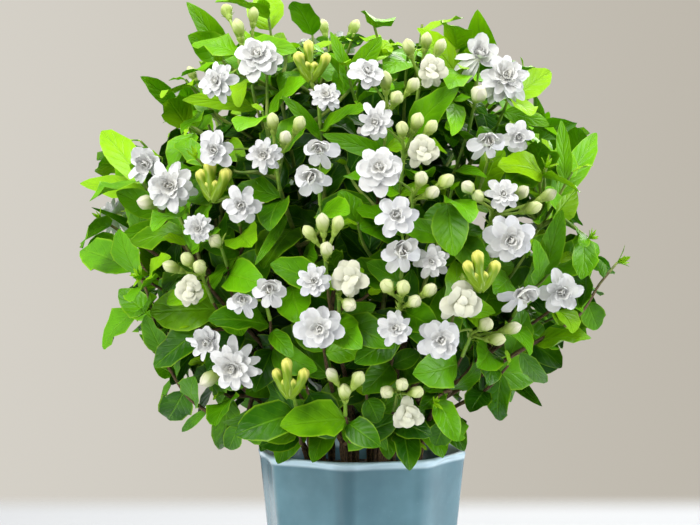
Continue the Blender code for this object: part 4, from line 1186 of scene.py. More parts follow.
def glazeFinish():
    # Blue-grey glaze that breaks pale over the lip, lightened there by a painted highlight too, with painted
    # shade along the front ridge and over the facet beside it
    look = dict(
        deep=(0.072, 0.172, 0.216),
        mid=(0.112, 0.240, 0.292),
        thinGlazeAndHighlight=(0.53, 0.71, 0.80),
        paintedShade=(0.026, 0.088, 0.120),
    )
    paint = newPainter("blue glaze")
    place = paint.place()
    cloud = paint.noise(place, 22.0, 3.0)
    speck = paint.noise(place, 420.0, 2.0)
    paintedShadeShare = paint.shade("tone")
    lip = paint.shade("age")
    colour = paint.mix(cloud.between(0.3, 0.7), look["deep"], look["mid"])
    # The pale band over the lip: partly glaze that breaks thin, partly a painted highlight
    colour = paint.mix((lip + (cloud - 0.5) * 0.2).between(0.02, 0.60) * 0.95, colour, look["thinGlazeAndHighlight"])
    colour = paint.mix(speck.between(0.62, 0.8) * 0.05, colour, look["thinGlazeAndHighlight"])
    # Painted shade: darker along the front ridge and over the front-right facet
    colour = paint.mix(paintedShadeShare * 0.75, colour, look["paintedShade"])
    height = paint.noise(place, 60.0, 2.0) * 0.7
    return paint.finish(
        Base_Color=colour,
        Roughness=0.20 + cloud * 0.1,
        Coat_Weight=0.25,
        Coat_Roughness=0.12,
        Specular_IOR_Level=0.4,
        Normal=paint.bump(height, 0.12, 1.2 * mm),
    )


def clayFinish():
    # The unglazed underside
    look = dict(dark=(0.42, 0.38, 0.33), pale=(0.55, 0.50, 0.44))
    paint = newPainter("bare clay")
    grain = paint.noise(paint.place(), 900.0, 4.0)
    colour = paint.mix(grain.between(0.3, 0.7), look["dark"], look["pale"])
    return paint.finish(Base_Color=colour, Roughness=0.85, Normal=paint.bump(grain, 0.3, 0.3 * mm))


def soilFinish():
    # Dark crumbly soil with a few paler crumbs
    look = dict(dark=(0.012, 0.008, 0.006), brown=(0.060, 0.038, 0.024), crumb=(0.17, 0.11, 0.065))
    paint = newPainter("potting soil")
    place = paint.place()
    clump = paint.noise(place, 160.0, 5.0, 0.7)
    grit = paint.noise(place, 900.0, 3.0)
    tone = paint.shade("tone")
    colour = paint.mix(clump.between(0.3, 0.7), look["dark"], look["brown"])
    colour = paint.mix(tone.between(0.75, 0.95), colour, look["crumb"])
    height = clump * 0.6 + grit * 0.4
    return paint.finish(Base_Color=colour, Roughness=0.9, Normal=paint.bump(height, 0.8, 1.0 * mm))


def barkFinish():
    # Tan and brown bark with long cracks, turning yellow-green on young wood
    look = dict(
        dark=(0.030, 0.016, 0.007),
        tan=(0.175, 0.105, 0.040),
        green=(0.110, 0.230, 0.015),
        pale=(0.30, 0.38, 0.06),
    )
    paint = newPainter("bark")
    across, along = paint.uv()
    place = paint.place()
    fibre = paint.node("ShaderNodeCombineXYZ", None, {0: across * 9.0, 1: along * 1.6, 2: 0.0})
    crack = paint.noise(fibre, 2.0, 4.0, 0.65)
    patch = paint.noise(place, 90.0, 3.0)
    young = (paint.shade("age") + (patch - 0.5) * 0.5).between(0.3, 0.7)
    old = paint.mix(crack.between(0.38, 0.62), look["dark"], look["tan"])
    fresh = paint.mix(patch.between(0.3, 0.7), look["green"], look["pale"])
    height = crack * (1.0 - 0.8 * young)
    return paint.finish(
        Base_Color=paint.mix(young, old, fresh),
        Roughness=0.8 - 0.3 * young,
        Normal=paint.bump(height, 0.6, 0.5 * mm),
    )


def leafFinish():
    # Glossy green with sunken veins that curve towards the tip, a pale midrib and a yellowish margin, partly
    # its own colour and partly a painted highlight along the edge
    look = dict(
        deep=(0.015, 0.088, 0.001),
        mid=(0.132, 0.410, 0.002),
        fresh=(0.285, 0.560, 0.004),
        vein=(0.19, 0.46, 0.012),
        margin=(0.34, 0.60, 0.020),
        veins=6.0,
        sweep=0.34,
    )
    paint = newPainter("jasmine leaf")
    across, along = paint.uv()
    place = paint.place()
    off = abs(across * 2.0 - 1.0)
    rank = (along - off**0.8 * look["sweep"]) * look["veins"]
    ridge = abs(rank.fraction() - 0.5) * 2.0
    side = (1.0 - ridge.between(0.0, 0.30)) * (1.0 - off.between(0.7, 0.95))
    rib = 1.0 - off.between(0.02, 0.09)
    net = paint.noise(place, 520.0, 2.0)
    cloud = paint.noise(place, 60.0, 3.0)
    tone = paint.shade("tone")
    age = paint.shade("age")
    share = (tone * 0.85 + (cloud - 0.5) * 0.7 + 0.05).between(0.0, 1.0)
    colour = paint.mix(share, look["deep"], look["mid"])
    colour = paint.mix((age + (cloud - 0.5) * 0.5).between(0.05, 1.0), colour, look["fresh"])
    colour = paint.mix(side * 0.06, colour, look["vein"])
    colour = paint.mix(rib * 0.30, colour, look["vein"])
    # The margin: partly a paler edge, partly a painted highlight along the rim
    colour = paint.mix(off.between(0.86, 1.0) * 0.5, colour, look["margin"])
    height = net * 0.10 + cloud * 1.6 + ridge * 0.25 - side * 0.25 - rib * 0.8
    return paint.finish(
        Base_Color=colour,
        Roughness=0.28 + net * 0.12,
        Specular_IOR_Level=0.18,
        Normal=paint.bump(height, 0.55, 0.9 * mm),
    )


def petalFinish():
    # White with fine veins, a painted highlight on the rims and painted lavender-grey shade near the base.
    # Tone warms it to cream
    look = dict(
        rim=(0.775, 0.79, 0.795),
        body=(0.71, 0.72, 0.735),
        shade=(0.59, 0.59, 0.655),
        cream=(0.76, 0.75, 0.68),
        heart=(0.64, 0.65, 0.43),
        streaks=15.0,
    )
    paint = newPainter("petal")
    across, along = paint.uv()
    off = abs(across * 2.0 - 1.0)
    streak = ((across - 0.5) / (0.25 + along) * look["streaks"]).sine()
    # Painted highlight: the rims and tip of each petal are lighter
    edge = (off.between(0.72, 1.0) + along.between(0.86, 1.0)) * 0.75
    # Painted shade: lavender-grey towards the petal's base, with the veins
    paintedBaseShade = (1.0 - along.between(0.1, 0.7)) * 0.5 + streak * 0.12
    colour = paint.mix(paintedBaseShade, look["body"], look["shade"])
    colour = paint.mix(paint.shade("tone"), colour, look["cream"])
    colour = paint.mix(edge, colour, look["rim"])
    colour = paint.mix((1.0 - along.between(0.0, 0.24)) * 0.6, colour, look["heart"])
    colour = paint.mix(paint.shade("age"), colour, look["heart"])
    return paint.finish(
        Base_Color=colour,
        Roughness=0.55,
        Specular_IOR_Level=0.25,
        Normal=paint.bump(streak, 0.22, 0.25 * mm),
    )


def budFinish():
    # Cream bud, greener at its base, with spiral folds. Age turns it to the gold of the long buds
    look = dict(
        cream=(0.67, 0.715, 0.36),
        blush=(0.72, 0.69, 0.54),
        green=(0.30, 0.42, 0.05),
        gold=(0.81, 0.78, 0.17),
        lime=(0.16, 0.28, 0.004),
    )
    paint = newPainter("bud")
    across, along = paint.uv()
    fold = ((across * 5.0 + along * 1.6) * (2.0 * math.pi)).sine()
    low = 1.0 - along.between(0.38, 0.98)
    pale = paint.mix(paint.shade("tone").between(0.4, 0.9), look["cream"], look["blush"])
    pale = paint.mix(low * 0.9, pale, look["green"])
    rich = paint.mix(1.0 - (along + fold * 0.05).between(0.62, 0.95), look["gold"], look["lime"])
    colour = paint.mix(paint.shade("age"), pale, rich)
    colour = paint.mix(fold.between(0.6, 1.0) * 0.3, colour, look["green"])
    return paint.finish(
        Base_Color=colour,
        Roughness=0.42,
        Specular_IOR_Level=0.3,
        Normal=paint.bump(fold, 0.35, 0.4 * mm),
    )


def stalkFinish():
    # Flower stalks, cups, teeth and bracts
    look = dict(green=(0.120, 0.270, 0.012), pale=(0.30, 0.43, 0.055))
    paint = newPainter("flower stalk")
    patch = paint.noise(paint.place(), 160.0, 2.0)
    colour = paint.mix((patch + paint.shade("tone") * 0.5).between(0.35, 0.95), look["green"], look["pale"])
    return paint.finish(Base_Color=colour, Roughness=0.45, Normal=paint.bump(patch, 0.2, 0.4 * mm))


# Pot and soil


def facetShare(turn):
    # Distance of a rounded octagon's edge as a share of its corner's, and 1 at mid-facet to 0 at a ridge
    step = 2 * math.pi / pot["facets"]
    away = (turn - pot["facetTurn"]) % step - step / 2
    flat = np.cos(step / 2) / np.cos(away)
    sharp = pot["cornerSharpness"]
    blend = np.exp(-sharp * flat) + np.exp(-sharp * pot["cornerLimit"])
    return -np.log(blend) / sharp, np.cos(away * pot["facets"] / 2) ** 2


def outerRadius(height):
    return pot["footRadius"] + (pot["rimRadius"] - pot["footRadius"]) * height / pot["height"]


def arc(centre, radii, start, end, count):
    # Points of an ellipse's arc in the plane of radius and height
    turn = np.radians(np.linspace(start, end, count))
    return np.stack([centre[0] + radii[0] * np.cos(turn), centre[1] + radii[1] * np.sin(turn)], axis=-1)


def straight(start, end, count):
    return np.linspace(start, end, count)[1:-1]


def facetedTurn(profile, around):
    # radius(s) times the octagon's share, less the facet's hollow, turned round Z. The lip is rounder. The
    # shades are painted shade on the front ridge and the facet beside it, and the pale band over the lip,
    # partly thin glaze and partly a painted highlight
    angle = pot["facetTurn"] + np.arange(around) * 2 * math.pi / around
    share, hollow = facetShare(angle)
    radius = profile[:, :1]
    height = profile[:, 1:]
    drop = pot["lipAtFacet"] + (pot["lipAtRidge"] - pot["lipAtFacet"]) * (1 - hollow[None])
    lip = np.clip((height - (pot["height"] - drop)) / drop, 0, 1)
    lip = lip * lip * (3 - 2 * lip)
    strength = 1 - (1 - pot["lipFlatness"]) * lip
    inside = np.clip(radius / (20 * mm), 0, 1)
    edge = radius * (1 - (1 - share[None]) * strength) - pot["hollow"] * (1 - lip) * hollow[None] * inside
    level = np.broadcast_to(height, edge.shape)
    ring = np.stack([edge * np.cos(angle), edge * np.sin(angle), level], axis=-1)
    count = len(profile)
    ends = [[0, 0, profile[0, 1]], [0, 0, profile[-1, 1]]]
    points = np.vstack([ring.reshape(-1, 3), ends])
    uv = np.zeros((len(points), 2))
    # Painted shade: a dark streak down the front ridge, and a broad darkening beside it on the front-right
    # facet
    ridge = np.clip((0.25 - hollow[None]) / 0.2, 0, 1) * np.clip(-np.sin(angle), 0, 1) ** 8
    away = (angle % math.tau - pot["besideTurn"]) / pot["besideWidth"]
    paintedShade = np.maximum(ridge, pot["beside"] * np.exp(-(away**2))) * (1 - lip)
    # The pale band: partly thin glaze, partly a painted highlight on the lip
    band = np.clip((height - pot["height"] + pot["paleBand"]) / pot["bandFade"], 0, 1) + 0.15 * lip
    shades = [np.append(np.broadcast_to(shade, edge.shape).reshape(-1), [0, 0]) for shade in (paintedShade, band)]
    faces = ringFaces(count, around, count * around, count * around + 1)
    return points, outward(points, faces), uv, shades


def buildPot(finishes):
    # Inner floor, inner wall, rounded lip, outer wall and foot, as one closed profile
    top = pot["height"]
    rim = pot["rimRadius"]
    inner = outerRadius(pot["floor"] + pot["insideRound"]) - pot["wall"]
    under = outerRadius(top - pot["lipAtRidge"])
    middle = rim - pot["wall"] / 2
    half = pot["wall"] / 2
    foot = pot["footRadius"]
    edge = pot["footEdge"]
    profile = np.vstack(
        [
            straight((0, pot["floor"]), (inner - edge, pot["floor"]), 8),
            arc((inner - edge, pot["floor"] + edge), (edge, edge), -90, 0, 6),
            straight((inner, pot["floor"] + edge), (under - pot["wall"], top - pot["lipAtRidge"]), 16),
            [(under - pot["wall"], top - pot["lipAtRidge"])],
            arc((middle, top - pot["lipRound"]), (half, pot["lipRound"]), 180, 0, 16),
            straight((rim, top - pot["lipRound"]), (under, top - pot["lipAtRidge"]), 8),
            straight((under, top - pot["lipAtRidge"]), (foot, edge), 26),
            arc((foot - edge, edge), (edge, edge), 0, -90, 7),
            straight((foot - edge, 0), (0, 0), 8),
        ]
    )
    points, faces, uv, shades = facetedTurn(profile, pot["around"])
    piece = Piece("pot_glazed", finishes)
    piece.add(points[None], faces, uv, finishes[0], *[shade[None] for shade in shades])
    made = piece.finish(sharp=50)
    # The underside is bare clay. The mesh holds the fans before the quads
    bare = [points[block, 2].max(axis=1) < 0.5 * mm for block in reversed(faces)]
    made.data.polygons.foreach_set("material_index", np.concatenate(bare).astype(np.int32))
    return made


def crumbPoints(places, sizes, draw):
    # Each crumb is an octahedron's corners and edge middles, pushed in and out
    corner = np.array([[1, 0, 0], [0, 1, 0], [-1, 0, 0], [0, -1, 0], [0, 0, 1], [0, 0, -1]], float)
    faces = [(k, (k + 1) % 4, 4) for k in range(4)] + [((k + 1) % 4, k, 5) for k in range(4)]
    middles = {}
    small = []
    for a, b, c in faces:
        for pair in ((a, b), (b, c), (c, a)):
            middles.setdefault(frozenset(pair), 6 + len(middles))
        ab, bc, ca = (middles[frozenset(pair)] for pair in ((a, b), (b, c), (c, a)))
        small += [(a, ab, ca), (ab, b, bc), (ca, bc, c), (ab, bc, ca)]
    ball = np.vstack([corner, [unit(corner[list(pair)].sum(axis=0)) for pair in middles]])
    rough = draw.uniform(0.65, 1.15, (len(places), len(ball), 1))
    flat = np.array([1, 1, 0.7])
    return places[:, None] + ball[None] * rough * sizes[:, None, None] * flat, np.array(small)


def buildSoil(finishes):
    # A plug inside the pot whose top is rough, with crumbs half sunk in it
    draw = np.random.default_rng(soil["seed"])
    high = pot["height"] - soil["drop"]
    low = pot["floor"] + soil["gap"]
    inside = pot["insideRound"]
    inner = outerRadius(pot["floor"] + inside) - pot["wall"] - soil["aside"]
    edge = outerRadius(high) - pot["wall"] - soil["aside"]
    profile = np.vstack(
        [
            straight((0, high), (edge, high), 34),
            [(edge, high)],
            straight((edge, high), (inner, low + inside), 8),
            arc((inner - inside, low + inside), (inside, inside), 0, -90, 4),
            straight((inner - inside, low), (0, low), 5),
        ]
    )
    points, faces, uv, _ = facetedTurn(profile, soil["around"])
    x, y, z = points.T
    top = z > high - 0.1 * mm
    reach = np.hypot(x, y) / edge
    swell = np.sin(x * 190 + 1.3) * np.sin(y * 170 + 0.4)
    swell = swell + 0.6 * np.sin(x * 420 + y * 310) + 0.4 * np.sin(y * 700 - x * 520)
    lift = soil["rough"] * (swell - 0.4) * np.clip(1.2 * (1 - reach), 0, 1)
    points[:, 2] += np.where(top, lift, 0)
    piece = Piece("soil_bed", finishes)
    piece.add(points[None], faces, uv, finishes[0])
    turn = draw.uniform(0, 2 * math.pi, soil["crumbs"])
    away = soil["crumbReach"] * edge * np.sqrt(draw.uniform(0, 1, soil["crumbs"]))
    sizes = draw.uniform(*soil["crumbSize"], soil["crumbs"]) * mm
    level = np.full(len(turn), high + 0.1 * mm)
    places = np.stack([away * np.cos(turn), away * np.sin(turn), level], axis=-1)
    crumbs, small = crumbPoints(places, sizes, draw)
    tones = draw.uniform(0, 1, len(places))
    piece.add(crumbs, [small], np.zeros((crumbs.shape[1], 2)), finishes[0], tones)
    return piece.finish(sharp=50)


# Filling the crown

filling = dict(
    seed=91,
    leaves=1330,
    targets=300,
    inset=(12, 62),
    apart=21 * mm,
    lowest=-0.66,
    margin=3 * mm,
    attempts=8,
    passes=[
        dict(pairLength=(38, 54), leafyShare=0.85),
        dict(pairLength=(32, 46), leafyShare=0.97, floor=pot["height"] + 5 * mm),
        dict(pairLength=(26, 42), leafyShare=0.95),
        dict(pairLength=(22, 34), leafyShare=0.98, floor=pot["height"] + 5 * mm),
    ],
    tipLeaves=(11, 19),
    tipOpening=(0.35, 0.75),
)

# The crown's outline seen square on: its tips and notches across and up in mm, anticlockwise from the right
outline = dict(
    middle=(-9, 313),
    slack=1.5,
    edge=[
        (165, 330), (186, 398), (156, 408), (132, 418), (148, 444), (102, 465), (95, 491), (71, 494),
        (30, 467), (-24, 473), (-44, 463), (-60, 502), (-130, 506), (-136, 441), (-170, 440),
        (-148, 393), (-200, 402), (-221, 350), (-218, 295), (-179, 283), (-188, 265), (-160, 207),
        (-163, 184), (-118, 157), (-9, 148), (109, 173), (144, 201), (185, 243), (202, 291),
    ],
)

# Tufts of narrow bracts: across and height as seen, and how deep in the crown. A shared one ends the leafy
# twig that is nearest, and the others grow a twig of their own
tufts = [
    dict(at=(144, 369), inset=8 * mm, bracts=9, size=9 * mm),
    dict(at=(178, 314), inset=2 * mm, bracts=9, size=9 * mm),
    dict(at=(-203, 329), inset=0, bracts=7, size=8 * mm),
    dict(at=(-171, 283), inset=4 * mm, bracts=8, size=12 * mm),
    dict(at=(-128, 376), inset=4 * mm, bracts=7, size=9 * mm),
    dict(at=(57, 186), inset=6 * mm, bracts=6, size=8 * mm),
    dict(at=(200, 295), inset=16 * mm, bracts=5, size=13 * mm, shared=True),
]

# Leaves that hang down to the rim at the front: where each leaves its twig, its tip and its width, in mm
rimLeaves = [
    dict(root=(31, -58, 171), tip=(34, -93, 147), width=23),
    dict(root=(-44, -40, 178), tip=(-62, -62, 147), width=23),
    dict(root=(46, -38, 180), tip=(60, -60, 151), width=24),
    dict(root=(-22, -50, 178), tip=(-36, -76, 150), width=20),
    dict(root=(60, -20, 180), tip=(78, -36, 153), width=20),
    dict(root=(-56, -22, 182), tip=(-76, -40, 153), width=20),
]


def insideOutline(points):
    # Within the crown's outline from the front, and within the CAD model's own box or just past it
    edge = np.array(outline["edge"]) - outline["middle"]
    turns = np.arctan2(edge[:, 1], edge[:, 0]) % math.tau
    seen = np.column_stack(seenAt(points)) / mm - outline["middle"]
    turn = np.arctan2(seen[:, 1], seen[:, 0])
    reach = np.interp(turn, turns, np.hypot(edge[:, 0], edge[:, 1]), period=math.tau)
    low, high = np.array(cadBox) + [[-filling["margin"]], [filling["margin"]]]
    inBox = np.all((points > low) & (points < high))
    return bool(inBox and np.all(np.hypot(seen[:, 0], seen[:, 1]) < reach + outline["slack"]))


def flowerSpots(sprays):
    # Where each bloom and bud of the front appears, how wide it looks there, and its depth
    rows = []
    for spray in sprays:
        for member in spray["blooms"] + spray["buds"]:
            place = member["centre"] if "centre" in member else member["place"]
            if place[1] < flower["frontTo"]:
                across, height = seenAt(place[None])
                rows.append([across[0], height[0], 0.9 * member["radius"] / nearness(place), place[1]])
    return np.array(rows)


def hidesFlower(points, spots):
    # Whether the middle of any two points of a leaf stands before a bloom or bud, seen from the front
    middles = ((points[:, None] + points[None]) / 2).reshape(-1, 3)
    across, height = seenAt(middles)
    off = np.hypot(across[:, None] - spots[:, 0], height[:, None] - spots[:, 1])
    return bool(np.any((off < spots[:, 2]) & (middles[:, 1:2] < spots[:, 3])))


def fillCrown(stems, sprays, room):
    # Twigs to the bare places of the crown, then more leaf pairs along every twig until it is full
    draw = random.Random(filling["seed"])
    spots = flowerSpots(sprays)

    def fits(points):
        return insideOutline(points) and not hidesFlower(points, spots)

    for plan in rimLeaves:
        hangRimLeaf(plan, stems, room, draw)
    left = growTufts(stems, room, draw)
    grown = growTwigs(stems, room, draw)
    tips = placeTips(stems, room, draw)
    count = 0
    for change in filling["passes"]:
        count = placePairs(stems, room, filling["leaves"], draw, {**leafRule, **change}, fits)
    for tuft in left:
        endWithTuft(tuft, stems)
    print("twigs added:", grown, "tip leaves:", tips, "leaves in all:", count)


def growTwigs(stems, room, draw):
    # Targets spread over the dome by the golden angle, each reached from the nearest stem with a clear way
    samples = np.vstack([line["path"][1:] for stem in stems for line in stem["lines"]])
    grown = 0
    for rank in range(filling["targets"]):
        height = 1 - (1 - filling["lowest"]) * (rank + 0.5) / filling["targets"]
        turn = rank * math.pi * (3 - math.sqrt(5))
        level = math.sqrt(max(1 - height**2, 0))
        outer = np.array([level * math.cos(turn), level * math.sin(turn), height])
        target = crown["centre"] + crown["half"] * outer
        target = target - draw.uniform(*filling["inset"]) * mm * crownNormal(target)
        if target[2] < leafRule["floor"] + 10 * mm:
            continue
        if np.linalg.norm(samples - target, axis=1).min() < filling["apart"]:
            continue
        heading = unit(0.7 * crownNormal(target) + 0.7 * upward)
        stem = growTwig(stems, room, dict(root=target, heading=heading, via=None), draw)
        if stem:
            samples = np.vstack([samples, stem["lines"][-1]["path"]])
            grown += 1
    return grown


def growTwig(stems, room, end, draw):
    # A side twig to the end from the nearest stem that has a clear way to it. Returns the stem, or None
    gaps = [np.linalg.norm(stem["lines"][0]["path"] - end["root"], axis=1).min() for stem in stems]
    for index in np.argsort(gaps)[:3]:
        stem = stems[index]
        own = f"stem{stem['number']}"
        for attempt in range(filling["attempts"]):
            line, radii = sideLine(stem["lines"][0]["path"], end, attempt / filling["attempts"], draw)
            shape, inPot = openPart(line, radii)
            if inPot and insideOutline(shape[0]) and room.clear([shape], skip=own):
                room.add(own, [shape])
                stem["lines"].append(dict(path=line, radii=radii, shoot=True))
                return stem
    return None


def growTufts(stems, room, draw):
    # Each tuft ends a twig of its own and points away from the crown. Returns those that find no way
    left = []
    for tuft in tufts:
        place, heading = tuftPlace(tuft)
        stem = None
        if not tuft.get("shared"):
            stem = growTwig(stems, room, dict(root=place, heading=heading, via=None), draw)
        if stem:
            stem["lines"][-1]["shoot"] = False
            stem.setdefault("tufts", []).append(dict(tuft, place=place, heading=heading))
        else:
            left.append(tuft)
    return left


def tuftPlace(tuft):
    place = onCrown(*tuft["at"], -tuft["inset"])
    return place, unit(crownNormal(place) + 0.6 * upward)


def endWithTuft(tuft, stems):
    # The leafy twig that ends nearest to the tuft's place carries it
    place, heading = tuftPlace(tuft)
    ends = [(stem, line["path"][-1]) for stem in stems for line in stem["lines"] if line["shoot"]]
    stem, tip = min(ends, key=lambda end: np.linalg.norm(end[1] - place))
    print("tuft", tuft["at"], "ends a twig", round(np.linalg.norm(tip - place) / mm), "mm away")
    stem.setdefault("tufts", []).append(dict(tuft, place=tip, heading=heading))


def hangRimLeaf(plan, stems, room, draw):
    # A short twig out to the rim, and the leaf that bends down in front of it
    root = np.array(plan["root"]) * mm
    tip = np.array(plan["tip"]) * mm
    ahead = tip - root
    end = dict(root=root + soil["gap"] * unit(ahead), heading=unit(ahead * [1, 1, 0]), via=None)
    stem = growTwig(stems, room, end, draw)
    if not stem:
        print("no clear way for the leaf at the rim", plan["tip"])
        return
    stem["lines"][-1]["shoot"] = False
    face = unit(crown["eye"] - tip) + 0.8 * upward
    leaf = makeLeaf(root, ahead, face, 1.04 * np.linalg.norm(ahead), plan["width"] * mm, draw, 0.9)
    raiseLeaf(leaf)
    room.add("leaf", [leafShape(leaf, soil["gap"])])
    stem["leaves"].append(leaf)


def placeTips(stems, room, draw):
    # Two small fresh leaves at the end of each twig that carries no flower
    count = 0
    for stem in stems:
        for line in stem["lines"]:
            if not line["shoot"]:
                continue
            tip = line["path"][-1]
            along = unit(tip - line["path"][-2])
            turn = draw.uniform(0, math.pi)
            for half in (0, math.pi):
                away = sideways(along, turn + half)
                opening = draw.uniform(*filling["tipOpening"])
                ahead = math.cos(opening) * along + math.sin(opening) * away
                face = unit(along - 0.6 * away)
                length = draw.uniform(*filling["tipLeaves"]) * mm
                leaf = makeLeaf(tip - 0.6 * mm * along, ahead, face, length, 0.5 * length, draw)
                leaf["fresh"] = 1.0
                count += tryLeaf(leaf, stem, room, insideOutline)
    return count


# Stems and leaves

leafLook = dict(
    stations=8,
    across=5,
    thickness=0.5 * mm,
    twist=0.35,
    wave=2.2,
    ripple=0.16,
    petiole=0.055,
    # Heights and crown shares over which leaves lighten: partly their own colour, partly painted light on
    # the crown's top and outside
    lowest=200 * mm,
    rise=220 * mm,
    inner=0.62,
    shell=0.28,
)


def leafEdge(along):
    # 2.53 b^0.58 (1-b)^0.78: ovate, widest before the middle, short-pointed, on a narrow petiole
    blade = np.clip((along - 0.04) / 0.96, 0, 1)
    return np.maximum(2.53 * blade**0.58 * (1 - blade) ** 0.78, leafLook["petiole"] * (along < 0.3))


def leafShades(stem, shape):
    # Outer leaves are lighter, more so from the lowest height up over the rise: partly their own colour, and
    # partly painted shade inside the crown and painted light on its top. The young ones near the top and the
    # outline turn yellow-green, which also partly paints the light there. Outer counts from the inner share
    # of the crown's size
    middle = shape["root"] + 0.5 * shape["length"][:, None] * shape["ahead"]
    depth = np.linalg.norm((middle - crown["centre"]) / crown["half"], axis=1)
    chance = np.array([leaf.get("chance", leaf["phase"] * 7.31 % 1) for leaf in stem["leaves"]])
    luck = np.array([leaf.get("luck", leaf["phase"] * 3.77 % 1) for leaf in stem["leaves"]])
    high = np.clip((middle[:, 2] - leafLook["lowest"]) / leafLook["rise"], 0, 1)
    outer = np.clip((depth - leafLook["inner"]) / leafLook["shell"], 0, 1)
    young = np.array([leaf.get("fresh", 0.0) for leaf in stem["leaves"]])
    # Painted light and shade, in part: leaves on the outside and higher up are lighter and yellower, inner
    # and lower ones darker
    tone = outer * (0.38 + 0.80 * high) + 0.75 * (chance - 0.5)
    age = outer * (0.32 * high + np.clip((luck - 0.66) / 0.34, 0, 1) * (0.42 + 0.50 * high))
    return np.clip(tone, 0, 1), np.clip(age + 0.7 * young, 0, 1)


def buildStem(stem, finishes):
    bark, leaf = finishes
    piece = Piece(stem["name"] + "_leafy", finishes)
    draw = random.Random(stem["number"])
    turning = 0.17 + 0.13 * draw.random()
    for line in stem["lines"]:
        path, radii = smoothPath(line["path"], line["radii"], wood["step"])
        run = np.arange(len(path))
        knots = 1 + 0.16 * np.exp(-((run % 6) - 3.0) ** 2)
        radii = radii * (wood["tipShare"] + (1 - wood["tipShare"]) * (1 - run / len(run))) * knots
        points, faces, uv = tube(path, radii, wood["sides"])
        age = np.clip((points[..., 2] - turning) / 0.12, 0, 1)
        piece.add(points, faces, uv, bark, draw.random(), age)
    for tuft in stem.get("tufts", []):
        addTuft(piece, tuft, leaf, draw)
    if stem["leaves"]:
        shape = stacked(stem["leaves"], ripple=leafLook["ripple"])
        shape["twist"] = leafLook["twist"] * np.sin(5 * shape["phase"])
        shape["wave"] = leafLook["wave"] * shape["wave"]
        tone, age = leafShades(stem, shape)
        grid = bladeGrid(leafLook["stations"], leafLook["across"])
        addBlades(piece, shape, grid, leafEdge, leafLook["thickness"], leaf, tone, age)
    made = piece.finish()
    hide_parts(stem["name"])
    return made


def addTuft(piece, tuft, finish, draw):
    # Narrow bracts that rise in a ring from the end of a twig
    items = []
    for k in range(tuft["bracts"]):
        out = around(tuft["heading"], 2.4 * k)
        ahead, up = splayed(out, tuft["heading"], math.radians(draw.uniform(35, 80)))
        root = tuft["place"] - 0.5 * mm * tuft["heading"]
        length = tuft["size"] * draw.uniform(0.7, 1.25)
        width = tuft["size"] * draw.uniform(0.2, 0.36)
        bend = draw.choice([-0.5, 0.4])
        items.append(blade(root, ahead, up, length, width, bend, 0.3, 0.1, draw.uniform(0, 6.28)))
    addBlades(piece, stacked(items), bladeGrid(4, 3), leafEdge, 0.4 * mm, finish, 0.9, 0.75)


# Sprays

petalLook = dict(
    stations=5,
    across=5,
    thickness=0.45 * mm,
    lengths=(0.80, 1.06),
    widths=(0.80, 1.14),
    waves=(0.08, 0.26),
    ripples=(0.03, 0.18),
)


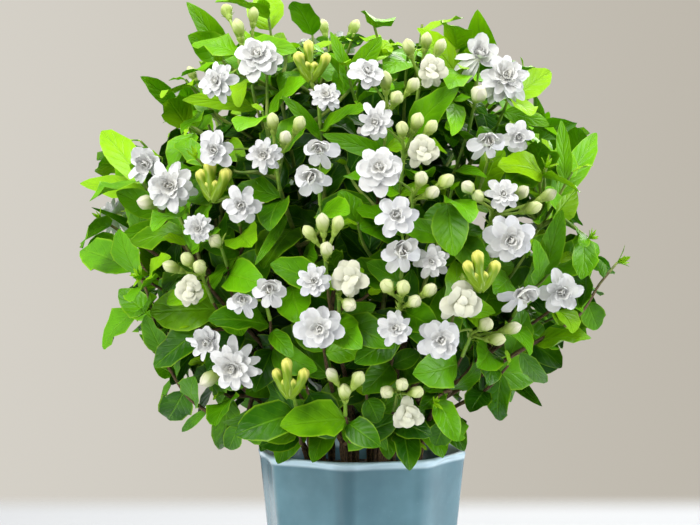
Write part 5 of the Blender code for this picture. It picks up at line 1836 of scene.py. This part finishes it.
# The whorls of each kind of bloom, from the outermost in, each as how many petals it has, spread evenly, or
# the place of each, clockwise from the top, then length, width, tilt and how much it varies, bend, cup and
# height. Sizes are shares of the bloom's radius, and the tilts are in degrees
bloomKinds = dict(
    broad=[
        (7, 1.04, 0.74, 0, 8, 0.3, 0.10, -0.05),
        (6, 0.84, 0.64, 11, 10, 0.15, 0.16, 0.02),
        (6, 0.64, 0.54, 22, 12, -0.1, 0.24, 0.08),
        (5, 0.46, 0.44, 36, 14, -0.6, 0.36, 0.12),
        (4, 0.34, 0.34, 58, 16, -0.9, 0.5, 0.12),
    ],
    star=[
        (8, 1.08, 0.54, -2, 10, 0.35, 0.18, -0.05),
        (7, 0.86, 0.50, 12, 10, 0.1, 0.24, 0.02),
        (6, 0.64, 0.44, 26, 12, -0.2, 0.32, 0.07),
        (5, 0.44, 0.36, 42, 12, -0.7, 0.4, 0.10),
        (3, 0.32, 0.32, 62, 16, -0.9, 0.5, 0.10),
    ],
    peony=[
        (9, 1.10, 0.44, -8, 14, 0.4, 0.22, -0.07),
        (9, 0.98, 0.48, 8, 12, 0.2, 0.24, 0.0),
        (8, 0.80, 0.46, 22, 12, 0.0, 0.30, 0.06),
        (7, 0.62, 0.42, 36, 12, -0.3, 0.36, 0.10),
        (5, 0.44, 0.34, 52, 10, -0.6, 0.4, 0.12),
        (4, 0.32, 0.28, 66, 16, -0.8, 0.5, 0.12),
    ],
    hang=[
        ((98, 264), 1.06, 0.74, -4, 8, 0.3, 0.2, -0.05),
        ((152, 206), 1.18, 0.62, -14, 8, 0.4, 0.18, -0.06),
        ((62, 300), 0.92, 0.78, 20, 8, -0.5, 0.36, 0.0),
        ((12, 342), 0.96, 0.92, 34, 7, -0.9, 0.46, 0.02),
        ((95, 180, 265), 0.66, 0.72, 44, 8, -1.2, 0.5, 0.06),
        ((30, 150, 270), 0.5, 0.5, 60, 10, -1.0, 0.5, 0.08),
    ],
    loose=[
        (6, 1.08, 0.74, -2, 14, 0.3, 0.2, -0.06),
        (5, 0.86, 0.66, 16, 14, 0.0, 0.3, 0.02),
        (4, 0.62, 0.56, 32, 14, -0.6, 0.42, 0.08),
        (3, 0.44, 0.42, 56, 16, -0.9, 0.5, 0.10),
    ],
    globe=[
        ((205, 228, 252, 276), 1.75, 0.52, -6, 10, 0.4, 0.2, -0.1),
        ((325, 15, 68, 125), 1.3, 0.98, 12, 8, -0.3, 0.3, -0.05),
        (5, 1.0, 0.82, 32, 10, -0.7, 0.4, 0.02),
        (4, 0.68, 0.62, 56, 10, -0.9, 0.5, 0.06),
    ],
    bowl=[
        ((150, 186), 1.25, 0.7, 4, 8, 0.6, -0.1, -0.2),
        ((335, 25, 95, 250), 1.30, 1.05, 48, 8, 1.3, -0.2, -0.2),
        ((60, 175, 300), 1.0, 0.9, 64, 8, 1.4, -0.25, 0.0),
        ((10, 130), 0.8, 0.8, 80, 8, 1.4, -0.3, 0.1),
    ],
    half=[
        ((165, 208), 1.15, 0.66, 0, 8, 0.6, -0.1, -0.2),
        ((0, 118, 242), 1.15, 1.0, 52, 8, 1.3, -0.2, -0.2),
        ((60, 182, 300), 0.95, 0.9, 66, 8, 1.3, -0.25, 0.0),
        ((20, 200), 0.75, 0.75, 80, 8, 1.4, -0.3, 0.1),
    ],
)

# The folded middle of a bloom, as a share of its radius
bloomHearts = dict(
    broad=0.11, star=0.10, peony=0.10, hang=0.18, loose=0.13, globe=0.20, bowl=0.26, half=0.26
)


def petalEdge(along):
    # Broad past the middle and bluntly pointed at the tip: 2.32 s^0.72 (1-s)^0.52, with a short claw
    return np.maximum(2.32 * along**0.72 * (1 - along) ** 0.52, 0.14 * (along < 0.3))


def toothEdge(along):
    return 1.9 * along**0.3 * (1 - along) ** 0.8


def around(axis, angle):
    # A direction square to the axis, clockwise from the one nearest to straight up
    guide = upward - [0, 0.2 * abs(axis[2]), 0]
    top = unit(guide - (guide @ axis) * axis)
    return math.cos(angle) * top + math.sin(angle) * np.cross(top, axis)


def splayed(out, axis, lean):
    # The way that a blade heads and the way that it faces, when it leans from out towards the axis
    return math.cos(lean) * out + math.sin(lean) * axis, math.cos(lean) * axis - math.sin(lean) * out


def petal(centre, axis, angle, tilt, length, width, bend, cup, draw):
    # A petal leaves the axis at the angle, tilted up from the bloom's plane, and rolls a little
    out = around(axis, angle)
    ahead, up = splayed(out, axis, tilt)
    roll = draw.gauss(0, 0.12)
    up = unit(math.cos(roll) * up + math.sin(roll) * np.cross(ahead, up))
    return dict(
        root=centre + 0.05 * length * out,
        ahead=ahead,
        up=up,
        length=length,
        width=width,
        bend=bend + draw.uniform(-0.15, 0.15),
        fold=0.02,
        cup=cup + draw.uniform(-0.06, 0.06),
        wave=draw.uniform(*petalLook["waves"]),
        ripple=draw.uniform(*petalLook["ripples"]),
        phase=draw.uniform(0, 6.28),
        twist=draw.gauss(0, 0.18),
    )


def addBloom(piece, bloom, heading, finishes, draw):
    petals, stalks = finishes
    r = bloom["radius"]
    axis = bloom["axis"]
    centre = bloom["centre"]
    closed = bloom["opened"] < 0.5
    kind = "half" if closed else bloom.get("kind") or draw.choice(["broad", "star", "peony", "loose"])
    cupped = kind in ("bowl", "half")
    cream = 0.8 if cupped else draw.choice([0.0, 0.1, 0.2, 0.35])
    items = []
    tones = []
    for rank, (spots, long, wide, lean, spread, bend, cup, height) in enumerate(bloomKinds[kind]):
        start = draw.uniform(0, 360)
        if not isinstance(spots, tuple):
            spots = [start + 360 * (k + draw.uniform(-0.16, 0.16)) / spots for k in range(spots)]
        for spot in spots:
            tilt = math.radians(lean + draw.gauss(0, 0.5) * spread)
            length = r * long * draw.uniform(*petalLook["lengths"])
            width = r * wide * draw.uniform(*petalLook["widths"])
            base = centre + height * r * axis
            angle = math.radians(spot + draw.uniform(-9, 9))
            items.append(petal(base, axis, angle, tilt, length, width, bend, cup, draw))
            tones.append(max(cream, 0.2 * rank))
    grid = bladeGrid(petalLook["stations"], petalLook["across"])
    # Cupped blooms take on the heart's colour: creamier, and darker as painted shade that evens out the
    # light on their round petals
    warmAndShaded = 0.6 * cupped
    addBlades(piece, stacked(items), grid, petalEdge, petalLook["thickness"], petals, np.array(tones), warmAndShaded)
    heart = bloomHearts[kind] * r
    rise = np.linspace(-0.5 * math.pi, 0.5 * math.pi, 8)[1:-1]
    profile = np.stack([heart * np.cos(rise), (0.9 + 0.25 * closed) * heart * (0.6 + np.sin(rise))], axis=-1)
    points, faces, uv = turned(centre, axis, profile, 12, 0.16, 0.8, 3, draw.uniform(0, 6.28))
    piece.add(points, faces, 0.3 + 0.4 * uv, petals, cream, 0.45)
    foot = bloomFoot(bloom)
    back = flower["back"] * r
    profile = [(0.085 * r, back), (0.09 * r, 0.7 * back), (0.10 * r, 0.35 * back), (0.17 * r, 0.02 * r)]
    piece.add(*turned(centre, axis, profile, 8), petals, cream, 0.35)
    addTeeth(piece, centre + 0.98 * back * axis, axis, 0.10 * r, 0.42 * r, 62, stalks, draw)
    away = np.linalg.norm(foot - bloom["root"])
    leave = bloom["root"] + 0.3 * away * heading
    path = bezier(bloom["root"], leave, foot - 0.25 * away * axis, foot + 0.6 * mm * axis, 8)
    piece.add(*tube(path, np.linspace(1.0, 0.8, 8) * stalk["pedicel"], 6), stalks, 0.4)


def addTeeth(piece, centre, axis, reach, length, tilt, finish, draw, count=7):
    # Narrow pointed teeth in a ring, rising from a cup
    items = []
    start = draw.uniform(0, 2 * math.pi)
    for k in range(count):
        out = around(axis, start + 2 * math.pi * k / count)
        ahead, up = splayed(out, axis, math.radians(tilt + draw.uniform(-10, 10)))
        root = centre + 0.8 * reach * out
        long = length * draw.uniform(0.8, 1.1)
        items.append(blade(root, ahead, up, long, 0.17 * length, draw.choice([-0.7, 0.6])))
    addBlades(piece, stacked(items), bladeGrid(3, 3), toothEdge, 0.35 * mm, finish, 0.8, 0.0)


def addBud(piece, bud, heading, finishes, draw):
    # An ovoid bud with a blunt point, in a green cup with narrow teeth
    buds, stalks = finishes
    swell = bud["swell"]
    r = 1.04 * bud["radius"] * swell
    long = 1.08 * bud["length"] * swell
    axis = bud["axis"]
    place = bud["place"]
    low = -0.85
    share = [0, 0.12, 0.26, 0.40, 0.56, 0.70, 0.84, 0.94, 1]
    wide = [0.32, 0.42, 0.62, 0.86, 1.0, 0.97, 0.72, 0.38, 0.10]
    fine = np.linspace(0, 1, 14)
    profile = np.stack([np.interp(fine, share, wide) * r, (low + (0.5 - low) * fine) * long], axis=-1)
    body = turned(place, axis, profile, 12, 0.09, 1.5, 4, draw.uniform(0, 6.28))
    piece.add(*body, buds, 1.0 if swell > 1 else 0.9 * draw.random())
    cup = [(0.26, -0.12), (0.42, -0.04), (0.54, 0.12), (0.60, 0.26), (0.50, 0.30)]
    profile = [(across * r, (low + height) * long) for across, height in cup]
    piece.add(*turned(place, axis, profile, 8), stalks, 0.8)
    addTeeth(piece, place + (low + 0.22) * long * axis, axis, 0.62 * r, 0.50 * long, 66, stalks, draw)
    addStalk(piece, bud["root"], heading, place + (low - 0.08) * long * axis, axis, 1.35, stalks)


def addStalk(piece, root, heading, end, axis, thick, finish):
    # A curved stalk from the main one to a bud or bloom, a little thinner at its root
    away = np.linalg.norm(end - root)
    path = bezier(root, root + 0.35 * away * heading, end - 0.3 * away * axis, end, 8)
    piece.add(*tube(path, np.linspace(0.9, 1.0, 8) * thick * stalk["pedicel"], 6), finish, 0.6)


def addGold(piece, members, heading, finishes, draw):
    # Long buds that part from one foot, each a tube that thickens to a blunt tip, with short ones between
    buds, stalks = finishes
    size = members[0]["length"]
    tips = np.array([bud["place"] + 0.35 * size * upward for bud in members])
    foot = tips.mean(axis=0) - 1.55 * size * upward
    ends = [(tip, 1.0) for tip in tips]
    ends += [(0.45 * foot + 0.55 * (first + last) / 2, 0.8) for first, last in zip(tips[:-1], tips[1:])]
    fine = np.linspace(0, 1, 14)
    share = [0, 0.25, 0.55, 0.76, 0.88, 0.96, 1]
    wide = [0.75, 0.90, 0.88, 1.08, 1.10, 0.72, 0.20]
    for tip, scale in ends:
        aside = (tip - foot) * [1, 1, 0.25]
        path = bezier(foot, foot + 0.5 * aside + 0.2 * size * upward, tip - 0.5 * size * upward, tip, 14)
        thick = 1.32 * members[0]["radius"] * scale * draw.uniform(0.9, 1.12)
        points, faces, uv = tube(path, thick * np.interp(fine, share, wide), 10)
        uv[:, 1] /= uv[:, 1].max()
        piece.add(points, faces, uv, buds, 0.0, 1.0)
    addTeeth(piece, foot, upward, 1.2 * members[0]["radius"], 0.5 * size, 70, stalks, draw)
    addStalk(piece, members[0]["root"], heading, foot + 0.5 * mm * upward, upward, 1.6, stalks)


def addBracts(piece, spray, finish, draw):
    # Two small narrow leaves where each flower's stalk leaves the main one
    items = []
    heading = spray["heading"]
    for member in spray["blooms"] + spray["buds"]:
        for side in (0, math.pi):
            out = around(heading, draw.uniform(-0.5, 0.5) + side)
            ahead = unit(0.7 * out + 0.8 * heading)
            up = unit(0.7 * heading - 0.8 * out)
            length = draw.uniform(5.5, 10) * mm
            width = draw.uniform(1.5, 2.6) * mm
            bend = draw.uniform(0.3, 1.0)
            phase = draw.uniform(0, 6.28)
            items.append(blade(member["root"], ahead, up, length, width, bend, 0.25, 0.1, phase))
    addBlades(piece, stacked(items), bladeGrid(4, 3), leafOutline, 0.4 * mm, finish, 0.6, 0.0)


def buildSpray(spray, finishes, number):
    petals, buds, stalks = finishes
    piece = Piece(spray["name"] + "_flowers", finishes)
    draw = random.Random(1000 + number)
    beyond = spray["joint"] + stalk["beyond"] * spray["heading"]
    path = np.linspace(spray["root"] - soil["gap"] * spray["heading"], beyond, 6)
    piece.add(*tube(path, np.linspace(1.0, 0.75, 6) * stalk["radius"], 7), stalks, 0.2)
    for bloom in spray["blooms"]:
        addBloom(piece, bloom, spray["heading"], (petals, stalks), draw)
    gold = [bud for bud in spray["buds"] if bud["long"]]
    for bud in spray["buds"]:
        if not bud["long"]:
            addBud(piece, bud, spray["heading"], (buds, stalks), draw)
    if gold:
        addGold(piece, gold, spray["heading"], (buds, stalks), draw)
    addBracts(piece, spray, stalks, draw)
    made = piece.finish()
    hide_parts(spray["name"])
    return made


# Stage, lights and camera

stage = dict(
    half=0.70,
    fade=0.16,
    table=(0.59, 0.602, 0.622),
    # The wall's colour with painted light, lighter on the left and darker on the right
    wallLeft=(0.680, 0.650, 0.590),
    wallRight=(0.500, 0.465, 0.400),
    lightAll=0.08,
    lightSides=0.60,
    lightAbove=0.27,
    lens=72.5,
    sensor=36,
)


def buildStage():
    # A white table top whose edge fades out, under a plain warm-grey surround
    paint = newPainter("white table")
    place = paint.place()
    x, y, _ = paint.parts(place)
    far = abs(x).larger(abs(y))
    fade = far.between(stage["half"] - stage["fade"], stage["half"])
    cloud = paint.noise(place, 3.0, 2.0)
    paint.finish(Base_Color=stage["table"], Roughness=0.45 + cloud * 0.1)
    clear = paint.node("ShaderNodeBsdfTransparent")
    solid = Socket(paint, paint.tree.nodes["Principled BSDF"].outputs[0])
    both = paint.node("ShaderNodeMixShader", None, {0: fade, 1: solid, 2: clear})
    paint.feed(paint.tree.nodes["Material Output"].inputs[0], both)
    half = stage["half"]
    corners = [(-half, -half, 0), (half, -half, 0), (half, half, 0), (-half, half, 0)]
    mesh = bpy.data.meshes.new("table_top")
    mesh.from_pydata(corners, [], [(0, 1, 2, 3)])
    mesh.materials.append(paint.owner)
    top = bpy.data.objects.new("table_top", mesh)
    bpy.context.scene.collection.objects.link(top)


def lightWorld():
    # The camera sees a plain wall, with painted light that is brighter on the left and darker on the right.
    # Everything else sees bright sides, a paler top and a darker front
    world = bpy.data.worlds.new("studio")
    bpy.context.scene.world = world
    paint = Painter(world)
    across, behind, up = paint.parts(paint.node("ShaderNodeTexCoord"))
    # Painted light on the wall: lighter on the left, darker on the right
    wall = paint.mix(across.between(-0.4, 0.4), stage["wallLeft"], stage["wallRight"])
    sides = abs(across).between(0.32, 0.9) * (1.0 - behind.between(0.0, 0.7) * 0.6)
    above = up.between(0.1, 0.9)
    level = stage["lightAll"] + sides * stage["lightSides"] + above * stage["lightAbove"]
    seen = paint.node("ShaderNodeBackground", None, {0: wall})
    lit = paint.node("ShaderNodeBackground", None, {0: (0.97, 0.985, 1.0), 1: level})
    camera = paint.node("ShaderNodeLightPath")
    both = paint.node("ShaderNodeMixShader", None, {0: camera, 1: lit, 2: seen})
    paint.feed(paint.tree.nodes["World Output"].inputs[0], both)


lights = [
    dict(name="key", place=(-1.0, -1.5, 1.7), size=(1.1, 1.1), power=34.5, colour=(1.0, 0.985, 0.95)),
    dict(name="fill", place=(1.6, -0.35, 0.7), size=(0.9, 1.2), power=25, colour=(0.96, 0.98, 1.0)),
    dict(name="top", place=(0.0, -0.1, 1.9), size=(1.2, 1.2), power=24, colour=(1.0, 1.0, 0.97)),
    dict(name="back", place=(0.6, 1.5, 1.2), size=(1.0, 1.0), power=14, colour=(1.0, 0.98, 0.94)),
    dict(name="low", place=(-1.3, -1.2, 0.2), size=(0.7, 0.5), power=12, colour=(1.0, 0.99, 0.97)),
]


def aim(obj, target):
    # Turns an object so that its -Z axis points at the target
    away = np.asarray(target) - np.asarray(obj.location)
    flat = math.hypot(away[0], away[1])
    obj.rotation_euler = (math.atan2(flat, -away[2]), 0, math.atan2(-away[0], away[1]))


def placeLights():
    for plan in lights:
        lamp = bpy.data.lights.new(plan["name"], "AREA")
        lamp.shape = "RECTANGLE"
        lamp.size, lamp.size_y = plan["size"]
        lamp.energy = plan["power"]
        lamp.color = plan["colour"]
        obj = bpy.data.objects.new(plan["name"], lamp)
        bpy.context.scene.collection.objects.link(obj)
        obj.location = plan["place"]
        aim(obj, (0, 0, 0.28))


def placeCamera():
    lens = bpy.data.cameras.new("camera")
    lens.sensor_width = stage["sensor"]
    lens.lens = stage["lens"]
    camera = bpy.data.objects.new("camera", lens)
    bpy.context.scene.collection.objects.link(camera)
    camera.location = crown["eye"].tolist()
    aim(camera, crown["eye"] + [0, 1, 0])
    bpy.context.scene.camera = camera


# Everything, in order

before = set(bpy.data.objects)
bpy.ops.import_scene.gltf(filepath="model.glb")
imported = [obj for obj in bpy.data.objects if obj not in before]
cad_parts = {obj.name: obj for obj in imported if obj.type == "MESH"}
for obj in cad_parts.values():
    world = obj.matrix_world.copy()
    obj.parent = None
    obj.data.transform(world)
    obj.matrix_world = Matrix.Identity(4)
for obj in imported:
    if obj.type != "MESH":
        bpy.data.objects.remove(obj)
cadBox = [list(corner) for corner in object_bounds()]
scene = bpy.context.scene
scene.view_settings.view_transform = "Standard"

sprays, stems, room = layPlant()
fillCrown(stems, sprays, room)

glaze = glazeFinish()
clay = clayFinish()
earth = soilFinish()
bark = barkFinish()
leafGreen = leafFinish()
petalWhite = petalFinish()
budCream = budFinish()
stalkGreen = stalkFinish()
print("finishes made")

potPiece = buildPot([glaze, clay])
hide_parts("pot")
soilPiece = buildSoil([earth])
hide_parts("soil")
pieces = [potPiece, soilPiece]
print("pot and soil made")

pieces += [buildStem(stem, [bark, leafGreen]) for stem in stems]
print("stems made, with", sum(len(stem["leaves"]) for stem in stems), "leaves")

for number, spray in enumerate(sprays):
    pieces.append(buildSpray(spray, [petalWhite, budCream, stalkGreen], number))
print("sprays made")

for piece in pieces:
    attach(piece, "root")
print("triangles:", sum(sum(len(face.vertices) - 2 for face in piece.data.polygons) for piece in pieces))

buildStage()
lightWorld()
placeLights()
placeCamera()
